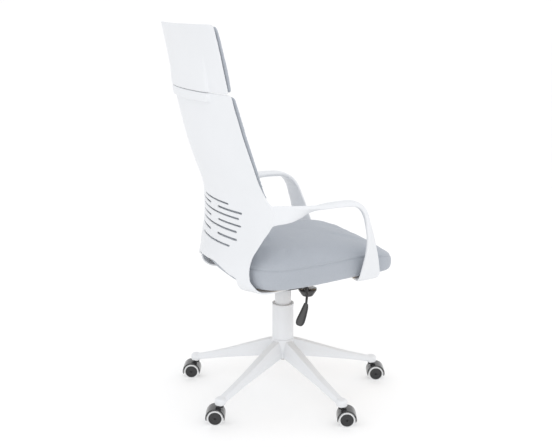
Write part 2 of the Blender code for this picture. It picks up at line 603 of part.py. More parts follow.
# ---------------------------------------------------------------- tilt mechanism
def build_mechanism():
    shoulder = FLOOR_FRONT - WALL_THICK
    housing = add("mechanism_housing", prism((
        (-WALL_X, HOUSING_BACK), (-WALL_X, shoulder), (-NOSE_HALF, shoulder - 0.012), (-NOSE_HALF, HOUSING_FRONT),
        (NOSE_HALF, HOUSING_FRONT), (NOSE_HALF, shoulder - 0.012), (WALL_X, shoulder), (WALL_X, HOUSING_BACK)),
        FLOOR_Z, WALL_TOP), "black_steel")
    inner = WALL_X - WALL_THICK
    tray = add("tray_hollow", box(
        (-inner, FLOOR_FRONT, FLOOR_Z + FLOOR_THICK), (inner, HOUSING_BACK - WALL_THICK, WALL_TOP + 0.01)))
    combine(housing, tray, "DIFFERENCE")
    relief = add("nose_relief", box(
        (-WALL_X, HOUSING_FRONT - 0.01, FLOOR_Z - 0.01), (WALL_X, shoulder - 0.001, NOSE_FOOT)))
    combine(housing, relief, "DIFFERENCE")
    nose = NOSE_HALF - NOSE_WALL
    well = add("spring_well", box(
        (-nose, HOUSING_FRONT + NOSE_WALL, FLOOR_Z - 0.01), (nose, shoulder, SPRING_SEAT_Z)))
    combine(housing, well, "DIFFERENCE")
    roof = add("roof_hollow", box(
        (-nose, HOUSING_FRONT + NOSE_WALL, SPRING_SEAT_Z + 0.003), (nose, shoulder, WALL_TOP + 0.01)))
    combine(housing, roof, "DIFFERENCE")
    bolt_hole = add("bolt_hole", turned(rod_profile(0.0105, SPRING_SEAT_Z - 0.01, SPRING_SEAT_Z + 0.01), 16,
                                        (0.0, SPRING_Y, 0.0)))
    combine(housing, bolt_hole, "DIFFERENCE")
    socket = add("socket_form", turned(rod_profile(SOCKET_OUT_R, FLOOR_Z + 0.001, SOCKET_TOP), 24))
    combine(housing, socket, "UNION")
    bore = add("socket_bore", turned(rod_profile(CYLINDER_R + GAP, FLOOR_Z - 0.01, SOCKET_TOP + 0.01), 24))
    combine(housing, bore, "DIFFERENCE")
    sideways = Matrix.Rotation(math.pi / 2, 4, "Y")
    pin_hole = add("pin_hole", turned(
        rod_profile(PIVOT_R + GAP, -0.08, 0.08), 16, (0.0, PIVOT_Y, PIVOT_Z), sideways))
    combine(housing, pin_hole, "DIFFERENCE")
    window = add("lever_window", box(
        (-WALL_X - 0.01, LEVER_POST[1] - 0.0085, LEVER_POST[2] - 0.0075),
        (-inner + 0.004, LEVER_POST[1] + 0.0085, WALL_TOP + 0.01)))
    combine(housing, window, "DIFFERENCE")
    add("pivot_pin", turned(
        rod_profile(PIVOT_R, -WALL_X - 0.0105, WALL_X + 0.0105), 16, (0.0, PIVOT_Y, PIVOT_Z), sideways),
        "bright_steel", (0.0, PIVOT_Y, PIVOT_Z))

    plate = add("seat_plate", box(
        (-PLATE_HALF, PLATE_FRONT, PLATE_Z), (PLATE_HALF, PLATE_BACK, PLATE_Z + PLATE_THICK)),
        "black_steel", (0.0, PIVOT_Y, PIVOT_Z))
    for side, letter in ((-1, "r"), (1, "l")):
        face = WALL_X + 0.0008
        ear = add(f"ear_form_{letter}", rings_to_solid([
            [(side * x, PIVOT_Y + y, z) for y, z in (
                (-EAR_HALF, PLATE_Z + 0.001), (-EAR_HALF * 0.6, PIVOT_Z - 0.005), (-0.005, EAR_FOOT),
                (0.005, EAR_FOOT), (EAR_HALF * 0.6, PIVOT_Z - 0.005), (EAR_HALF, PLATE_Z + 0.001))]
            for x in (face, face + 0.003)]))
        combine(plate, ear, "UNION")
    ear_hole = add("ear_hole", turned(
        rod_profile(PIVOT_R + RUN, -0.08, 0.08), 16, (0.0, PIVOT_Y, PIVOT_Z), sideways))
    combine(plate, ear_hole, "DIFFERENCE")
    tap = add("bolt_tap", turned(rod_profile(BOLT_R + GAP, PLATE_Z - 0.01, PLATE_Z + 0.01), 14, (0.0, SPRING_Y, 0.0)))
    combine(plate, tap, "DIFFERENCE")

    knob_rings = []
    steps = KNOB_LOBES * 4
    for radius, height in (
        (0.50, KNOB_FOOT), (0.58, KNOB_FOOT + 0.001), (0.76, KNOB_FOOT + 0.009), (0.95, KNOB_FOOT + 0.018),
        (1.0, KNOB_FOOT + 0.022), (0.97, KNOB_FOOT + KNOB_HIGH),
    ):
        ring = []
        for n in range(steps):
            angle = 2 * math.pi * n / steps
            reach = KNOB_R * radius * (1.0 - 0.045 * (1 + math.cos(KNOB_LOBES * angle)) / 2)
            ring.append((reach * math.cos(angle), SPRING_Y + reach * math.sin(angle), height))
        knob_rings.append(ring)
    knob = add("tension_knob", rings_to_solid(knob_rings), "black_nylon", (0.0, SPRING_Y, KNOB_FOOT))
    bolt = add("bolt_form", turned(rod_profile(
        BOLT_R, KNOB_FOOT + 0.004, PLATE_Z + PLATE_THICK), 14, (0.0, SPRING_Y, 0.0)))
    combine(knob, bolt, "UNION")
    build_spring()


def build_spring():
    steps, around = 10 * SPRING_TURNS, 6
    low = SPRING_FOOT + SPRING_WIRE + GAP
    high = SPRING_SEAT_Z - SPRING_WIRE - GAP
    rings = []
    for n in range(steps + 1):
        angle = 2 * math.pi * SPRING_TURNS * n / steps
        height = low + (high - low) * n / steps
        out = Vector((math.cos(angle), math.sin(angle), 0.0))
        centre = out * SPRING_R + Vector((0.0, SPRING_Y, height))
        ring = []
        for k in range(around):
            turn = 2 * math.pi * k / around
            ring.append(centre + SPRING_WIRE * (math.cos(turn) * out + math.sin(turn) * Vector((0.0, 0.0, 1.0))))
        rings.append(ring)
    add("tension_spring", rings_to_solid(rings), "bright_steel", (0.0, SPRING_Y, SPRING_SEAT_Z))


def build_lever():
    add("lever_rod", round_bar(LEVER_PATH, LEVER_R, 10), "black_steel", LEVER_POST)
    start = Vector(HANDLE_PATH[0][0])
    way = (Vector(HANDLE_PATH[-1][0]) - start).normalized()
    broad = way.cross(Vector((0.9063, -0.4226, 0.0))).normalized()
    thin = broad.cross(way)
    rings = []
    for centre, wide, thick in HANDLE_PATH:
        ring = []
        for n in range(14):
            angle = 2 * math.pi * n / 14
            ring.append(Vector(centre) + broad * (wide * math.cos(angle)) + thin * (thick * math.sin(angle)))
        rings.append(ring)
    handle = add("lever_handle", rings_to_solid(rings), "black_nylon", LEVER_POST)
    tip, last = Vector(LEVER_PATH[-1]), Vector(LEVER_PATH[-2])
    tip += (tip - last).normalized() * (2 * GAP)
    hole = add("handle_bore", round_bar((last, tip), LEVER_R + GAP, 10))
    combine(handle, hole, "DIFFERENCE")


# ---------------------------------------------------------------- seat
def seat_outline(inset, droop=0.0, height=0.0):
    """The seat's plan outline drawn in by inset. droop lowers the front."""
    half = [(SEAT_HALF * share, y) for share, y in SEAT_OUTLINE]
    points = half + [(-x, y) for x, y in reversed(half[1:-1])]
    ring = []
    for n, (x, y) in enumerate(points):
        before, after = points[n - 1], points[(n + 1) % len(points)]
        run = Vector((after[0] - before[0], after[1] - before[1], 0.0)).normalized()
        inward = Vector((-run.y, run.x, 0.0))
        spot = Vector((x, y, 0.0)) + inward * inset
        fall = min(1.0, max(0.0, (DROOP_FROM_Y - spot.y) / DROOP_RUN))
        ring.append((spot.x, spot.y, height - droop * fall))
    return ring


def build_seat():
    pivot = (0.0, PIVOT_Y, PIVOT_Z)
    board_ring = [(x, y) for x, y, _ in seat_outline(BOARD_INSET)]
    add("seat_board", prism(board_ring, SEAT_FOOT, SEAT_FOOT + BOARD_THICK), "birch_ply", pivot)
    rings = [
        seat_outline(0.006, 0.0, SEAT_FOOT),
        seat_outline(0.0015, 0.0, SEAT_FOOT + 0.008),
        seat_outline(0.0, 0.0, SEAT_FOOT + 0.030),
        seat_outline(0.0, 0.45 * SEAT_DROOP, SEAT_SEAM - 0.006),
        seat_outline(0.004, 0.60 * SEAT_DROOP, SEAT_SEAM + 0.006),
        seat_outline(0.014, 0.84 * SEAT_DROOP, SEAT_SEAM + 0.020),
        seat_outline(0.034, SEAT_DROOP, SEAT_SEAM + 0.033),
        seat_outline(0.080, 1.10 * SEAT_DROOP, SEAT_CROWN - 0.007),
        seat_outline(0.130, 0.77 * SEAT_DROOP, SEAT_CROWN),
    ]
    cushion = add("seat_cushion", rings_to_solid(rings), "grey_fabric", pivot)
    pocket_ring = [(x, y) for x, y, _ in seat_outline(BOARD_INSET - GAP)]
    pocket = add("board_pocket", prism(pocket_ring, SEAT_FOOT - 0.01, SEAT_FOOT + BOARD_THICK + GAP))
    combine(cushion, pocket, "DIFFERENCE")


# ---------------------------------------------------------------- back
def read_table(table, height):
    """A row of the table at this height, with the heights between its rows filled in evenly."""
    rising = sorted(table)
    heights = [row[0] for row in rising]
    return [float(np.interp(height, heights, column)) for column in list(zip(*rising))[1:]]


def station(height):
    """Rear face at the middle, curvature across and half width, at this height."""
    middle, curve, inset = read_table(BACK_STATIONS, height)
    return middle, curve, SHELL_HALF - inset


def back_face(x, height):
    """Rear face of the shell, without the tongue."""
    middle, curve, _ = station(height)
    return middle - curve * x * x


def tongue(x, height):
    """How far the raised middle panel stands proud."""
    if abs(x) > TONGUE_HALF or height < TONGUE_FOOT:
        return 0.0
    fade = min(1.0, max(0.0, (TONGUE_FADE - height) / (TONGUE_FADE - SPLIT_Z)))
    return TONGUE_PROUD * fade * fade * (3.0 - 2.0 * fade)


def arch_sag(x, height):
    """How far the lowest rows bend down towards the hooks."""
    low = SHELL_ROWS[-1]
    across = min(1.0, max(0.0, (abs(x) - ARCH_FROM_X) / (ARCH_TO_X - ARCH_FROM_X)))
    depth = max(0.0, (ARCH_FROM_Z - height) / (ARCH_FROM_Z - low))
    return ARCH_DROP * depth * across * across * (3.0 - 2.0 * across)


def columns(height):
    half = station(height)[2]
    inner = [x for x in SHELL_INNER]
    outer = [inner[-1] + (half - inner[-1]) * share for share in SHELL_OUTER]
    right = inner + outer
    return [-x for x in reversed(right[1:])] + right


def shell_rows(heights):
    """Rear and front points of the shell, row by row."""
    rear, front = [], []
    for height in heights:
        rear_row, front_row = [], []
        for x in columns(height):
            slope = (back_face(x + 1e-4, height) - back_face(x - 1e-4, height)) / 2e-4
            out = Vector((-slope, 1.0, 0.0)).normalized()
            base = Vector((x, back_face(x, height), height - arch_sag(x, height)))
            rear_row.append(base + Vector((0.0, tongue(x, height), 0.0)))
            front_row.append(base - out * SHELL_THICK)
        rear.append(rear_row)
        front.append(front_row)
    return rear, front


def sheet_solid(rear, front):
    """Closed body between two grids whose rows may leave out points with None."""
    made = bmesh.new()
    grids = []
    for grid in (rear, front):
        grids.append([[None if p is None else made.verts.new(p) for p in row] for row in grid])
    back, face = grids
    edges = {}
    for i in range(len(back) - 1):
        for j in range(len(back[0]) - 1):
            cells = ((i, j), (i, j + 1), (i + 1, j + 1), (i + 1, j))
            if any(back[a][b] is None for a, b in cells):
                continue
            made.faces.new([back[a][b] for a, b in cells])
            made.faces.new([face[a][b] for a, b in reversed(cells)])
            for k in range(4):
                edge = (cells[k], cells[(k + 1) % 4])
                if (edge[1], edge[0]) in edges:
                    del edges[(edge[1], edge[0])]
                else:
                    edges[edge] = True
    for (a, b), (c, d) in edges:
        made.faces.new((back[c][d], back[a][b], face[a][b], face[c][d]))
    return made


def hook_rows():
    """Rows of the two hooks that reach under the seat, as wide as the shell's rows."""
    count = 2 * (len(SHELL_INNER) + len(SHELL_OUTER)) - 1
    rear, front = [], []
    for number, (inner, outer) in enumerate(HOOK_ROWS):
        before = HOOK_ROWS[max(number - 1, 0)]
        after = HOOK_ROWS[min(number + 1, len(HOOK_ROWS) - 1)]
        rear_row, front_row = [None] * count, [None] * count
        for place, share in enumerate(HOOK_ACROSS):
            spot = Vector(inner).lerp(Vector(outer), share)
            down = Vector(after[0]).lerp(Vector(after[1]), share) - Vector(before[0]).lerp(Vector(before[1]), share)
            across = Vector(outer) - Vector(inner)
            out = across.cross(down).normalized()
            for side in (1, -1):
                column = count // 2 + side * (count // 2 - (len(HOOK_ACROSS) - 1) + place)
                mirror = Vector((side, 1.0, 1.0))
                rear_row[column] = spot * mirror
                front_row[column] = (spot - out * -SHELL_THICK) * mirror
        rear.append(rear_row)
        front.append(front_row)
    return rear, front


def build_back():
    pivot = (0.0, PIVOT_Y, PIVOT_Z)
    rear, front = shell_rows(SHELL_ROWS)
    hook_rear, hook_front = hook_rows()
    shell = add("back_shell", sheet_solid(rear + hook_rear, front + hook_front), "white_nylon", pivot)
    for number, (height, inner, outer) in enumerate(SLOTS):
        spans = [(-outer, outer)] if inner == 0.0 else [(-outer, -inner), (inner, outer)]
        for part, (left, right) in enumerate(spans):
            radius = SLOT_HIGH / 2
            outline = []
            for n in range(5):
                angle = math.radians(-90 + 45 * n)
                outline.append((right - radius + radius * math.cos(angle), height + radius * math.sin(angle)))
            for n in range(5):
                angle = math.radians(90 + 45 * n)
                outline.append((left + radius + radius * math.cos(angle), height + radius * math.sin(angle)))
            cutter = add(f"slot_form_{number + 1}_{part + 1}", rings_to_solid(
                [[(x, y, z) for x, z in outline] for y in (0.15, 0.30)]))
            combine(shell, cutter, "DIFFERENCE")
    rear, front = shell_rows(HEADREST_ROWS)
    add("headrest_shell", sheet_solid(rear, front), "white_nylon", pivot)


def pad_solid(table, heights):
    """Cushion that lies against the shell's front face."""
    rear, front = [], []
    for height in heights:
        thick, edge_thick, inset = read_table(table, height)
        half = station(height)[2] - inset
        rear_row, front_row = [], []
        for share in PAD_ACROSS:
            x = share * half
            slope = (back_face(x + 1e-4, height) - back_face(x - 1e-4, height)) / 2e-4
            out = Vector((-slope, 1.0, 0.0)).normalized()
            seat = Vector((x, back_face(x, height), height)) - out * (SHELL_THICK + PAD_GAP)
            edge_y = back_face(half, height)
            middle_y = back_face(0.0, height) - SHELL_THICK - thick
            rim_y = edge_y - SHELL_THICK - edge_thick
            y = middle_y + (rim_y - middle_y) * share * share
            if abs(share) > 0.95:
                y = seat.y - edge_thick * 0.35
            rear_row.append(seat)
            front_row.append(Vector((x * 0.995, min(y, seat.y - 0.003), height)))
        rear.append(rear_row)
        front.append(front_row)
    return sheet_solid(rear, front)


def build_back_cushions():
    pivot = (0.0, PIVOT_Y, PIVOT_Z)
    add("back_cushion", pad_solid(BACK_PAD, PAD_ROWS), "grey_fabric", pivot)
    add("headrest_cushion", pad_solid(HEAD_PAD, HEAD_PAD_ROWS), "grey_fabric", pivot)


# ---------------------------------------------------------------- arms
def arm_sections():
    """Sections from the shell's side edge, over the top and down to the foot under the seat."""
    half = station(ARM_ROOT_Z)[2]
    edge = Vector((half, back_face(half, ARM_ROOT_Z), ARM_ROOT_Z))
    slope = (back_face(half, ARM_ROOT_Z) - back_face(half - 1e-4, ARM_ROOT_Z)) / 1e-4
    outward = Vector((1.0, slope, 0.0)).normalized()
    rearward = Vector((-slope, 1.0, 0.0)).normalized()
    root = edge - rearward * (SHELL_THICK / 2)
    upright = (0.0, 0.0, 1.0)
    sections = [
        (root + outward * ARM_ROOT_GAP, upright, ARM_ROOT_HALF, SHELL_THICK / 2),
        (root + outward * (ARM_ROOT_GAP + 0.004), upright, ARM_ROOT_HALF - 0.001, SHELL_THICK / 2 + 0.001),
    ]
    seat_side = SEAT_HALF * SEAT_SHARE_AT_ARM
    for side_x, rows in ((SHELL_HALF, ARM_TOP), (seat_side, ARM_POST)):
        for centre, broad, wide, thick in rows:
            sections.append((Vector(centre) + Vector((side_x, 0.0, 0.0)), broad, wide, thick))
    return sections


def build_arms():
    sections = arm_sections()
    last = len(sections) - 1
    for side, name in ((1, "arm_left"), (-1, "arm_right")):
        rings = []
        flat_before = None
        for n, (centre, broad, wide, thick) in enumerate(sections):
            before = sections[max(n - 1, 0)][0]
            after = sections[min(n + 1, last)][0]
            way = (after - before).normalized()
            flat = Vector(broad)
            flat = (flat - way * flat.dot(way)).normalized()
            if flat_before and flat.dot(flat_before) < 0:
                flat = -flat
            flat_before = flat
            normal = way.cross(flat)
            ring = []
            for a, b in ARM_RIB:
                spot = centre + flat * (wide * a) + normal * (thick * b)
                ring.append(spot * Vector((side, 1.0, 1.0)))
            rings.append(ring)
        add(name, rings_to_solid(rings), "white_nylon", (0.0, PIVOT_Y, PIVOT_Z))


clear_scene()
build_star_base()
build_casters()
build_gas_lift()
build_mechanism()
build_lever()
build_seat()
build_back()
build_back_cushions()
build_arms()
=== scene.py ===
"""Swivel office chair: the fine surfaces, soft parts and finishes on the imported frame.

Lengths are in metres. The chair faces -Y, +X is the sitter's left and the floor is z = 0.
"""

import math

import bmesh
import bpy
import numpy as np
from mathutils import Matrix, Vector
from mathutils.geometry import delaunay_2d_cdt


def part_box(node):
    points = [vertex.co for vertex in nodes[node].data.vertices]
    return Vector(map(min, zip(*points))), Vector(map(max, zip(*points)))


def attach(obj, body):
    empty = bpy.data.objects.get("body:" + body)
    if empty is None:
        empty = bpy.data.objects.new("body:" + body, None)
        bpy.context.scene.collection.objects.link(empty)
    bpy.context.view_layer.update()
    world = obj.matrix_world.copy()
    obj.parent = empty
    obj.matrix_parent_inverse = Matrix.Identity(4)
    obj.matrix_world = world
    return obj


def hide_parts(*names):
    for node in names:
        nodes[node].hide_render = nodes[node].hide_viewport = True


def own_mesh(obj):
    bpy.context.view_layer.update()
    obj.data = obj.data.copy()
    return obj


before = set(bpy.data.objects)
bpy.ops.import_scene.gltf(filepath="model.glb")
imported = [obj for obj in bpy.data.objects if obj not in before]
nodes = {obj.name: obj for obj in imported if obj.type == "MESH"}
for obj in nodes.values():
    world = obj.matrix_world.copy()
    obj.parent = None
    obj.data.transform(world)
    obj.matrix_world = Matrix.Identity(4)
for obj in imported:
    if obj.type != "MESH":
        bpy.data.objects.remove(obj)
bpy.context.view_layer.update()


# ---------------------------------------------------------------- studio
# A pale seamless floor with big soft lamps, and a standing camera behind the chair's right
# shoulder. Everything is placed from the gas lift's axis, which the chair turns on.
tube_low, tube_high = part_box("cylinder_tube")
COLUMN = Vector(((tube_low.x + tube_high.x) / 2, (tube_low.y + tube_high.y) / 2, 0.0))

CAMERA_FROM_COLUMN = Vector((-2.465, 1.149, 1.237))
CAMERA_FORWARD = Vector((0.8825, -0.4027, -0.2428))
CAMERA_LENS_MM = 58.47



def in_scene(name, data):
    """A new object in the scene."""
    made = bpy.data.objects.new(name, data)
    bpy.context.scene.collection.objects.link(made)
    return made


def new_finish(name):
    """A new material, its node tree and its shader."""
    finish = bpy.data.materials.new(name)
    finish.use_nodes = True
    return finish, finish.node_tree, finish.node_tree.nodes["Principled BSDF"]


camera_data = bpy.data.cameras.new("camera")
camera_data.lens = CAMERA_LENS_MM
camera_data.sensor_width = 36.0
camera = in_scene("camera", camera_data)
camera.location = COLUMN + CAMERA_FROM_COLUMN
camera.rotation_euler = CAMERA_FORWARD.to_track_quat("-Z", "Y").to_euler()
bpy.context.scene.camera = camera
bpy.context.scene.view_settings.view_transform = "Standard"

FLOOR_HALF = 900.0
floor_mesh = bpy.data.meshes.new("studio_floor")
floor_mesh.from_pydata(
    [(-FLOOR_HALF, -FLOOR_HALF, 0), (FLOOR_HALF, -FLOOR_HALF, 0),
     (FLOOR_HALF, FLOOR_HALF, 0), (-FLOOR_HALF, FLOOR_HALF, 0)], [], [(0, 1, 2, 3)])
floor = in_scene("studio_floor", floor_mesh)
floor_paint, _, floor_shader = new_finish("studio_floor")
floor_shader.inputs["Base Color"].default_value = (0.72, 0.72, 0.72, 1.0)
floor_shader.inputs["Emission Color"].default_value = (1.0, 1.0, 1.0, 1.0)
floor_shader.inputs["Emission Strength"].default_value = 0.30
floor_shader.inputs["Roughness"].default_value = 0.85
floor_shader.inputs["Specular IOR Level"].default_value = 0.1
floor_mesh.materials.append(floor_paint)

world = bpy.data.worlds.new("studio")
world.use_nodes = True
world.node_tree.nodes["Background"].inputs["Color"].default_value = (0.985, 0.99, 1.0, 1.0)
world.node_tree.nodes["Background"].inputs["Strength"].default_value = 1.0
bpy.context.scene.world = world

LAMPS = (
    # name, place, width, watts, what it is aimed at
    ("key", (-1.6, 2.6, 3.0), 2.4, 7.0, (0.0, 0.0, 0.7)),
    ("fill", (-3.4, 0.7, 1.7), 2.2, 13.0, (0.1, 0.0, 0.55)),
    ("top", (0.4, -0.6, 3.4), 2.2, 7.0, (0.0, 0.0, 0.4)),
)
for name, place, width, watts, aim in LAMPS:
    lamp_data = bpy.data.lights.new(name, "AREA")
    lamp_data.energy = watts
    lamp_data.size = width
    lamp = in_scene(name, lamp_data)
    lamp.location = place
    lamp.rotation_euler = (Vector(aim) - Vector(place)).to_track_quat("-Z", "Y").to_euler()


# ---------------------------------------------------------------- star base
# One glass-filled nylon moulding: a hub bored for the gas lift's taper and five tapering legs,
# each ending in a boss that takes a caster's stem. Satin white, with soft edges all over.
LEGS = 5
FIRST_LEG = math.radians(-26.2)
STEM_CIRCLE = 0.309
HUB_R, HUB_FOOT, HUB_TOP = 0.035, 0.117, 0.181
BOSS_R, BOSS_FOOT, LEG_TIP_TOP = 0.0165, 0.061, 0.083
LEG_SHAPE = (
    # reach, underside, top, half width at the foot, half width of the top
    (0.010, 0.1200, 0.1760, 0.0150, 0.0080),
    (0.045, 0.1180, 0.1730, 0.0205, 0.0120),
    (0.120, 0.1040, 0.1450, 0.0188, 0.0115),
    (0.210, 0.0860, 0.1110, 0.0163, 0.0100),
    (0.297, 0.0660, 0.0830, 0.0143, 0.0090),
    (0.314, 0.0660, 0.0815, 0.0125, 0.0080),
)
BASE_VOXEL = 0.0016


def paint_group(name, inputs, outputs):
    """An empty shader group with these sockets, and its tree's input and output nodes."""
    group = bpy.data.node_groups.new(name, "ShaderNodeTree")
    for label, value in inputs:
        socket = group.interface.new_socket(label, in_out="INPUT", socket_type="NodeSocketFloat")
        socket.default_value = value
    for label, kind in outputs:
        group.interface.new_socket(label, in_out="OUTPUT", socket_type=kind)
    return group, group.nodes.new("NodeGroupInput"), group.nodes.new("NodeGroupOutput")


def math_node(tree, operation, first, second=None, clamp=False):
    node = tree.nodes.new("ShaderNodeMath")
    node.operation = operation
    node.use_clamp = clamp
    for place, value in enumerate((first, second)):
        if value is None:
            continue
        if isinstance(value, (int, float)):
            node.inputs[place].default_value = value
        else:
            tree.links.new(value, node.inputs[place])
    return node.outputs[0]


def times(tree, first, second, clamp=False):
    return math_node(tree, "MULTIPLY", first, second, clamp)


def plus(tree, first, second, clamp=False):
    return math_node(tree, "ADD", first, second, clamp)


def noise(tree, vector, scale, detail=2.0, roughness=0.5):
    node = tree.nodes.new("ShaderNodeTexNoise")
    node.inputs["Scale"].default_value = scale
    node.inputs["Detail"].default_value = detail
    node.inputs["Roughness"].default_value = roughness
    tree.links.new(vector, node.inputs["Vector"])
    return node.outputs["Fac"]


def object_place(tree):
    return tree.nodes.new("ShaderNodeTexCoord").outputs["Object"]


# Moulded surface: a fine stipple, a slow drift in tone, and a trace of handling dirt that dulls the gloss.
moulded_skin, skin_in, skin_out = paint_group(
    "moulded_skin", (("Drift", 0.5), ("Stipple", 1.0)),
    (("Height", "NodeSocketFloat"), ("Tone", "NodeSocketFloat"), ("Handling", "NodeSocketFloat")))
place = object_place(moulded_skin)
fine = noise(moulded_skin, place, 1400.0, 2.0)
coarse = noise(moulded_skin, place, 420.0, 3.0, 0.6)
stipple = plus(moulded_skin, times(moulded_skin, fine, 0.6),
                    times(moulded_skin, coarse, 0.4))
moulded_skin.links.new(times(moulded_skin, stipple, skin_in.outputs["Stipple"]),
                       skin_out.inputs["Height"])
drift = math_node(moulded_skin, "SUBTRACT", noise(moulded_skin, place, 5.0, 3.0), 0.5)
moulded_skin.links.new(times(moulded_skin, drift, skin_in.outputs["Drift"]),
                       skin_out.inputs["Tone"])
smear = noise(moulded_skin, place, 28.0, 5.0, 0.7)
moulded_skin.links.new(times(moulded_skin, smear, 0.5), skin_out.inputs["Handling"])

# Worn edges: convex corners rub smooth first.
rubbed_edge, rub_in, rub_out = paint_group(
    "rubbed_edge", (("Reach", 0.08), ("Strength", 1.0)), (("Mask", "NodeSocketFloat"),))
bend = rubbed_edge.nodes.new("ShaderNodeNewGeometry").outputs["Pointiness"]
lifted = math_node(rubbed_edge, "SUBTRACT", bend, 0.5)
ramped = math_node(rubbed_edge, "DIVIDE", lifted, rub_in.outputs["Reach"], clamp=True)
broken = times(rubbed_edge, ramped, noise(rubbed_edge, object_place(rubbed_edge), 90.0, 4.0))
rubbed_edge.links.new(times(rubbed_edge, broken, rub_in.outputs["Strength"], clamp=True),
                      rub_out.inputs["Mask"])


def use_group(tree, group, **values):
    node = tree.nodes.new("ShaderNodeGroup")
    node.node_tree = group
    for label, value in values.items():
        node.inputs[label].default_value = value
    return node


def blend_colour(tree, mask, first, second):
    node = tree.nodes.new("ShaderNodeMix")
    node.data_type = "RGBA"
    tree.links.new(mask, node.inputs[0])
    for socket, value in ((node.inputs[6], first), (node.inputs[7], second)):
        if isinstance(value, tuple):
            socket.default_value = (*value, 1.0)
        else:
            tree.links.new(value, socket)
    return node.outputs[2]


def bumped(tree, shader, height, distance, strength=1.0):
    node = tree.nodes.new("ShaderNodeBump")
    node.inputs["Distance"].default_value = distance
    node.inputs["Strength"].default_value = strength
    tree.links.new(height, node.inputs["Height"])
    tree.links.new(node.outputs["Normal"], shader.inputs["Normal"])


def moulded_finish(name, colour, rubbed, roughness, coat, stipple_depth):
    """A moulded plastic: slow tone drift, stippled skin, and edges that have rubbed smoother."""
    finish, tree, shader = new_finish(name)
    skin = use_group(tree, moulded_skin, Drift=1.0, Stipple=1.0)
    edge = use_group(tree, rubbed_edge, Reach=0.10, Strength=0.8)
    lighter = tuple(min(1.0, c * 1.03 + 0.004) for c in colour)
    darker = tuple(c * 0.965 for c in colour)
    toned = blend_colour(tree, plus(tree, skin.outputs["Tone"], 0.5, clamp=True), darker, lighter)
    tree.links.new(blend_colour(tree, edge.outputs["Mask"], toned, rubbed), shader.inputs["Base Color"])
    worn = times(tree, skin.outputs["Handling"], 0.22)
    base = plus(tree, worn, roughness - 0.06)
    tree.links.new(math_node(tree, "SUBTRACT", base, times(tree, edge.outputs["Mask"], 0.12)),
                   shader.inputs["Roughness"])
    shader.inputs["Coat Weight"].default_value = coat
    shader.inputs["Coat Roughness"].default_value = 0.18
    bumped(tree, shader, skin.outputs["Height"], stipple_depth)
    return finish


white_nylon = moulded_finish("white_nylon", (0.775, 0.787, 0.806), (0.81, 0.82, 0.83), 0.40, 0.06, 0.00006)


def rows_to_faces(rows, count, closed_row=True, capped=True, looped=False):
    """Quads between equal rows of points, with the end rows filled."""
    faces = []
    last = rows if looped else rows - 1
    across = count if closed_row else count - 1
    for i in range(last):
        for j in range(across):
            k = (j + 1) % count
            n = (i + 1) % rows
            faces.append((i * count + j, i * count + k, n * count + k, n * count + j))
    if capped:
        faces.append(tuple(range(count))[::-1])
        faces.append(tuple((rows - 1) * count + j for j in range(count)))
    return faces


def mesh_of(name, points, faces, sharp_deg=None):
    """A mesh with its faces turned outwards and shaded smooth."""
    mesh = bpy.data.meshes.new(name)
    mesh.from_pydata([tuple(p) for p in points], [], faces)
    work = bmesh.new()
    work.from_mesh(mesh)
    bmesh.ops.remove_doubles(work, verts=work.verts, dist=1e-6)
    bmesh.ops.recalc_face_normals(work, faces=work.faces)
    work.to_mesh(mesh)
    work.free()
    mesh.shade_smooth()
    if sharp_deg:
        mesh.set_sharp_from_angle(angle=math.radians(sharp_deg))
    return mesh


def show(name, mesh, finish, body, slot, *stands_for):
    """Puts a finished mesh in the scene, on its body, in place of its CAD nodes."""
    piece = in_scene(name, mesh)
    piece.data.materials.append(finish)
    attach(piece, body)
    if stands_for:
        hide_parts(*stands_for)
    return piece


def turn(angle):
    return Vector((math.cos(angle), math.sin(angle), 0.0))


def up(height):
    return Vector((0.0, 0.0, height))


def turned(share, count):
    """The direction that is this share of count steps round a full turn."""
    return turn(2 * math.pi * share / count)


def rounded(outline, radius, steps=4, closed=True):
    """The outline with every corner turned into a small arc."""
    corners = [Vector(p) for p in outline]
    made = []
    for n, corner in enumerate(corners):
        if not closed and n in (0, len(corners) - 1):
            made.append(corner)
            continue
        before, after = corners[n - 1], corners[(n + 1) % len(corners)]
        to_before, to_after = (before - corner), (after - corner)
        opening = to_before.angle(to_after, math.pi)
        if opening > math.radians(176):
            made.append(corner)
            continue
        back = min(radius / math.tan(opening / 2), 0.45 * to_before.length, 0.45 * to_after.length)
        start, end = corner + to_before.normalized() * back, corner + to_after.normalized() * back
        for k in range(steps + 1):
            share = k / steps
            made.append(start.lerp(corner, share).lerp(corner.lerp(end, share), share))
    return made


def lathe(profile, steps=64, radius=0.0006, centre=(0.0, 0.0, 0.0), to=None):
    """(points, faces) of a closed (radius, height) profile turned about an upright axis."""
    outline = rounded(profile, radius)
    points = []
    for n in range(steps):
        out = turned(n, steps)
        for r, z in outline:
            points.append(out * max(r, 0.0) + up(z))
    faces = rows_to_faces(steps, len(outline), capped=False, looped=True)
    if to is not None:
        points = [to @ p for p in points]
    return [p + Vector(centre) for p in points], faces


def show_turned(name, profile, steps, radius, finish, body, slot, stands_for,
                centre=(0.0, 0.0, 0.0), to=None, sharp_deg=40):
    """A piece turned from one profile, straight into the scene."""
    shape = lathe(profile, steps, radius, centre, to)
    return show(name, mesh_of(name.rstrip("_12345ab"), *shape, sharp_deg), finish, body, slot, stands_for)


def join_shapes(*shapes):
    points, faces = [], []
    for more_points, more_faces in shapes:
        start = len(points)
        points += list(more_points)
        faces += [tuple(start + v for v in face) for face in more_faces]
    return points, faces


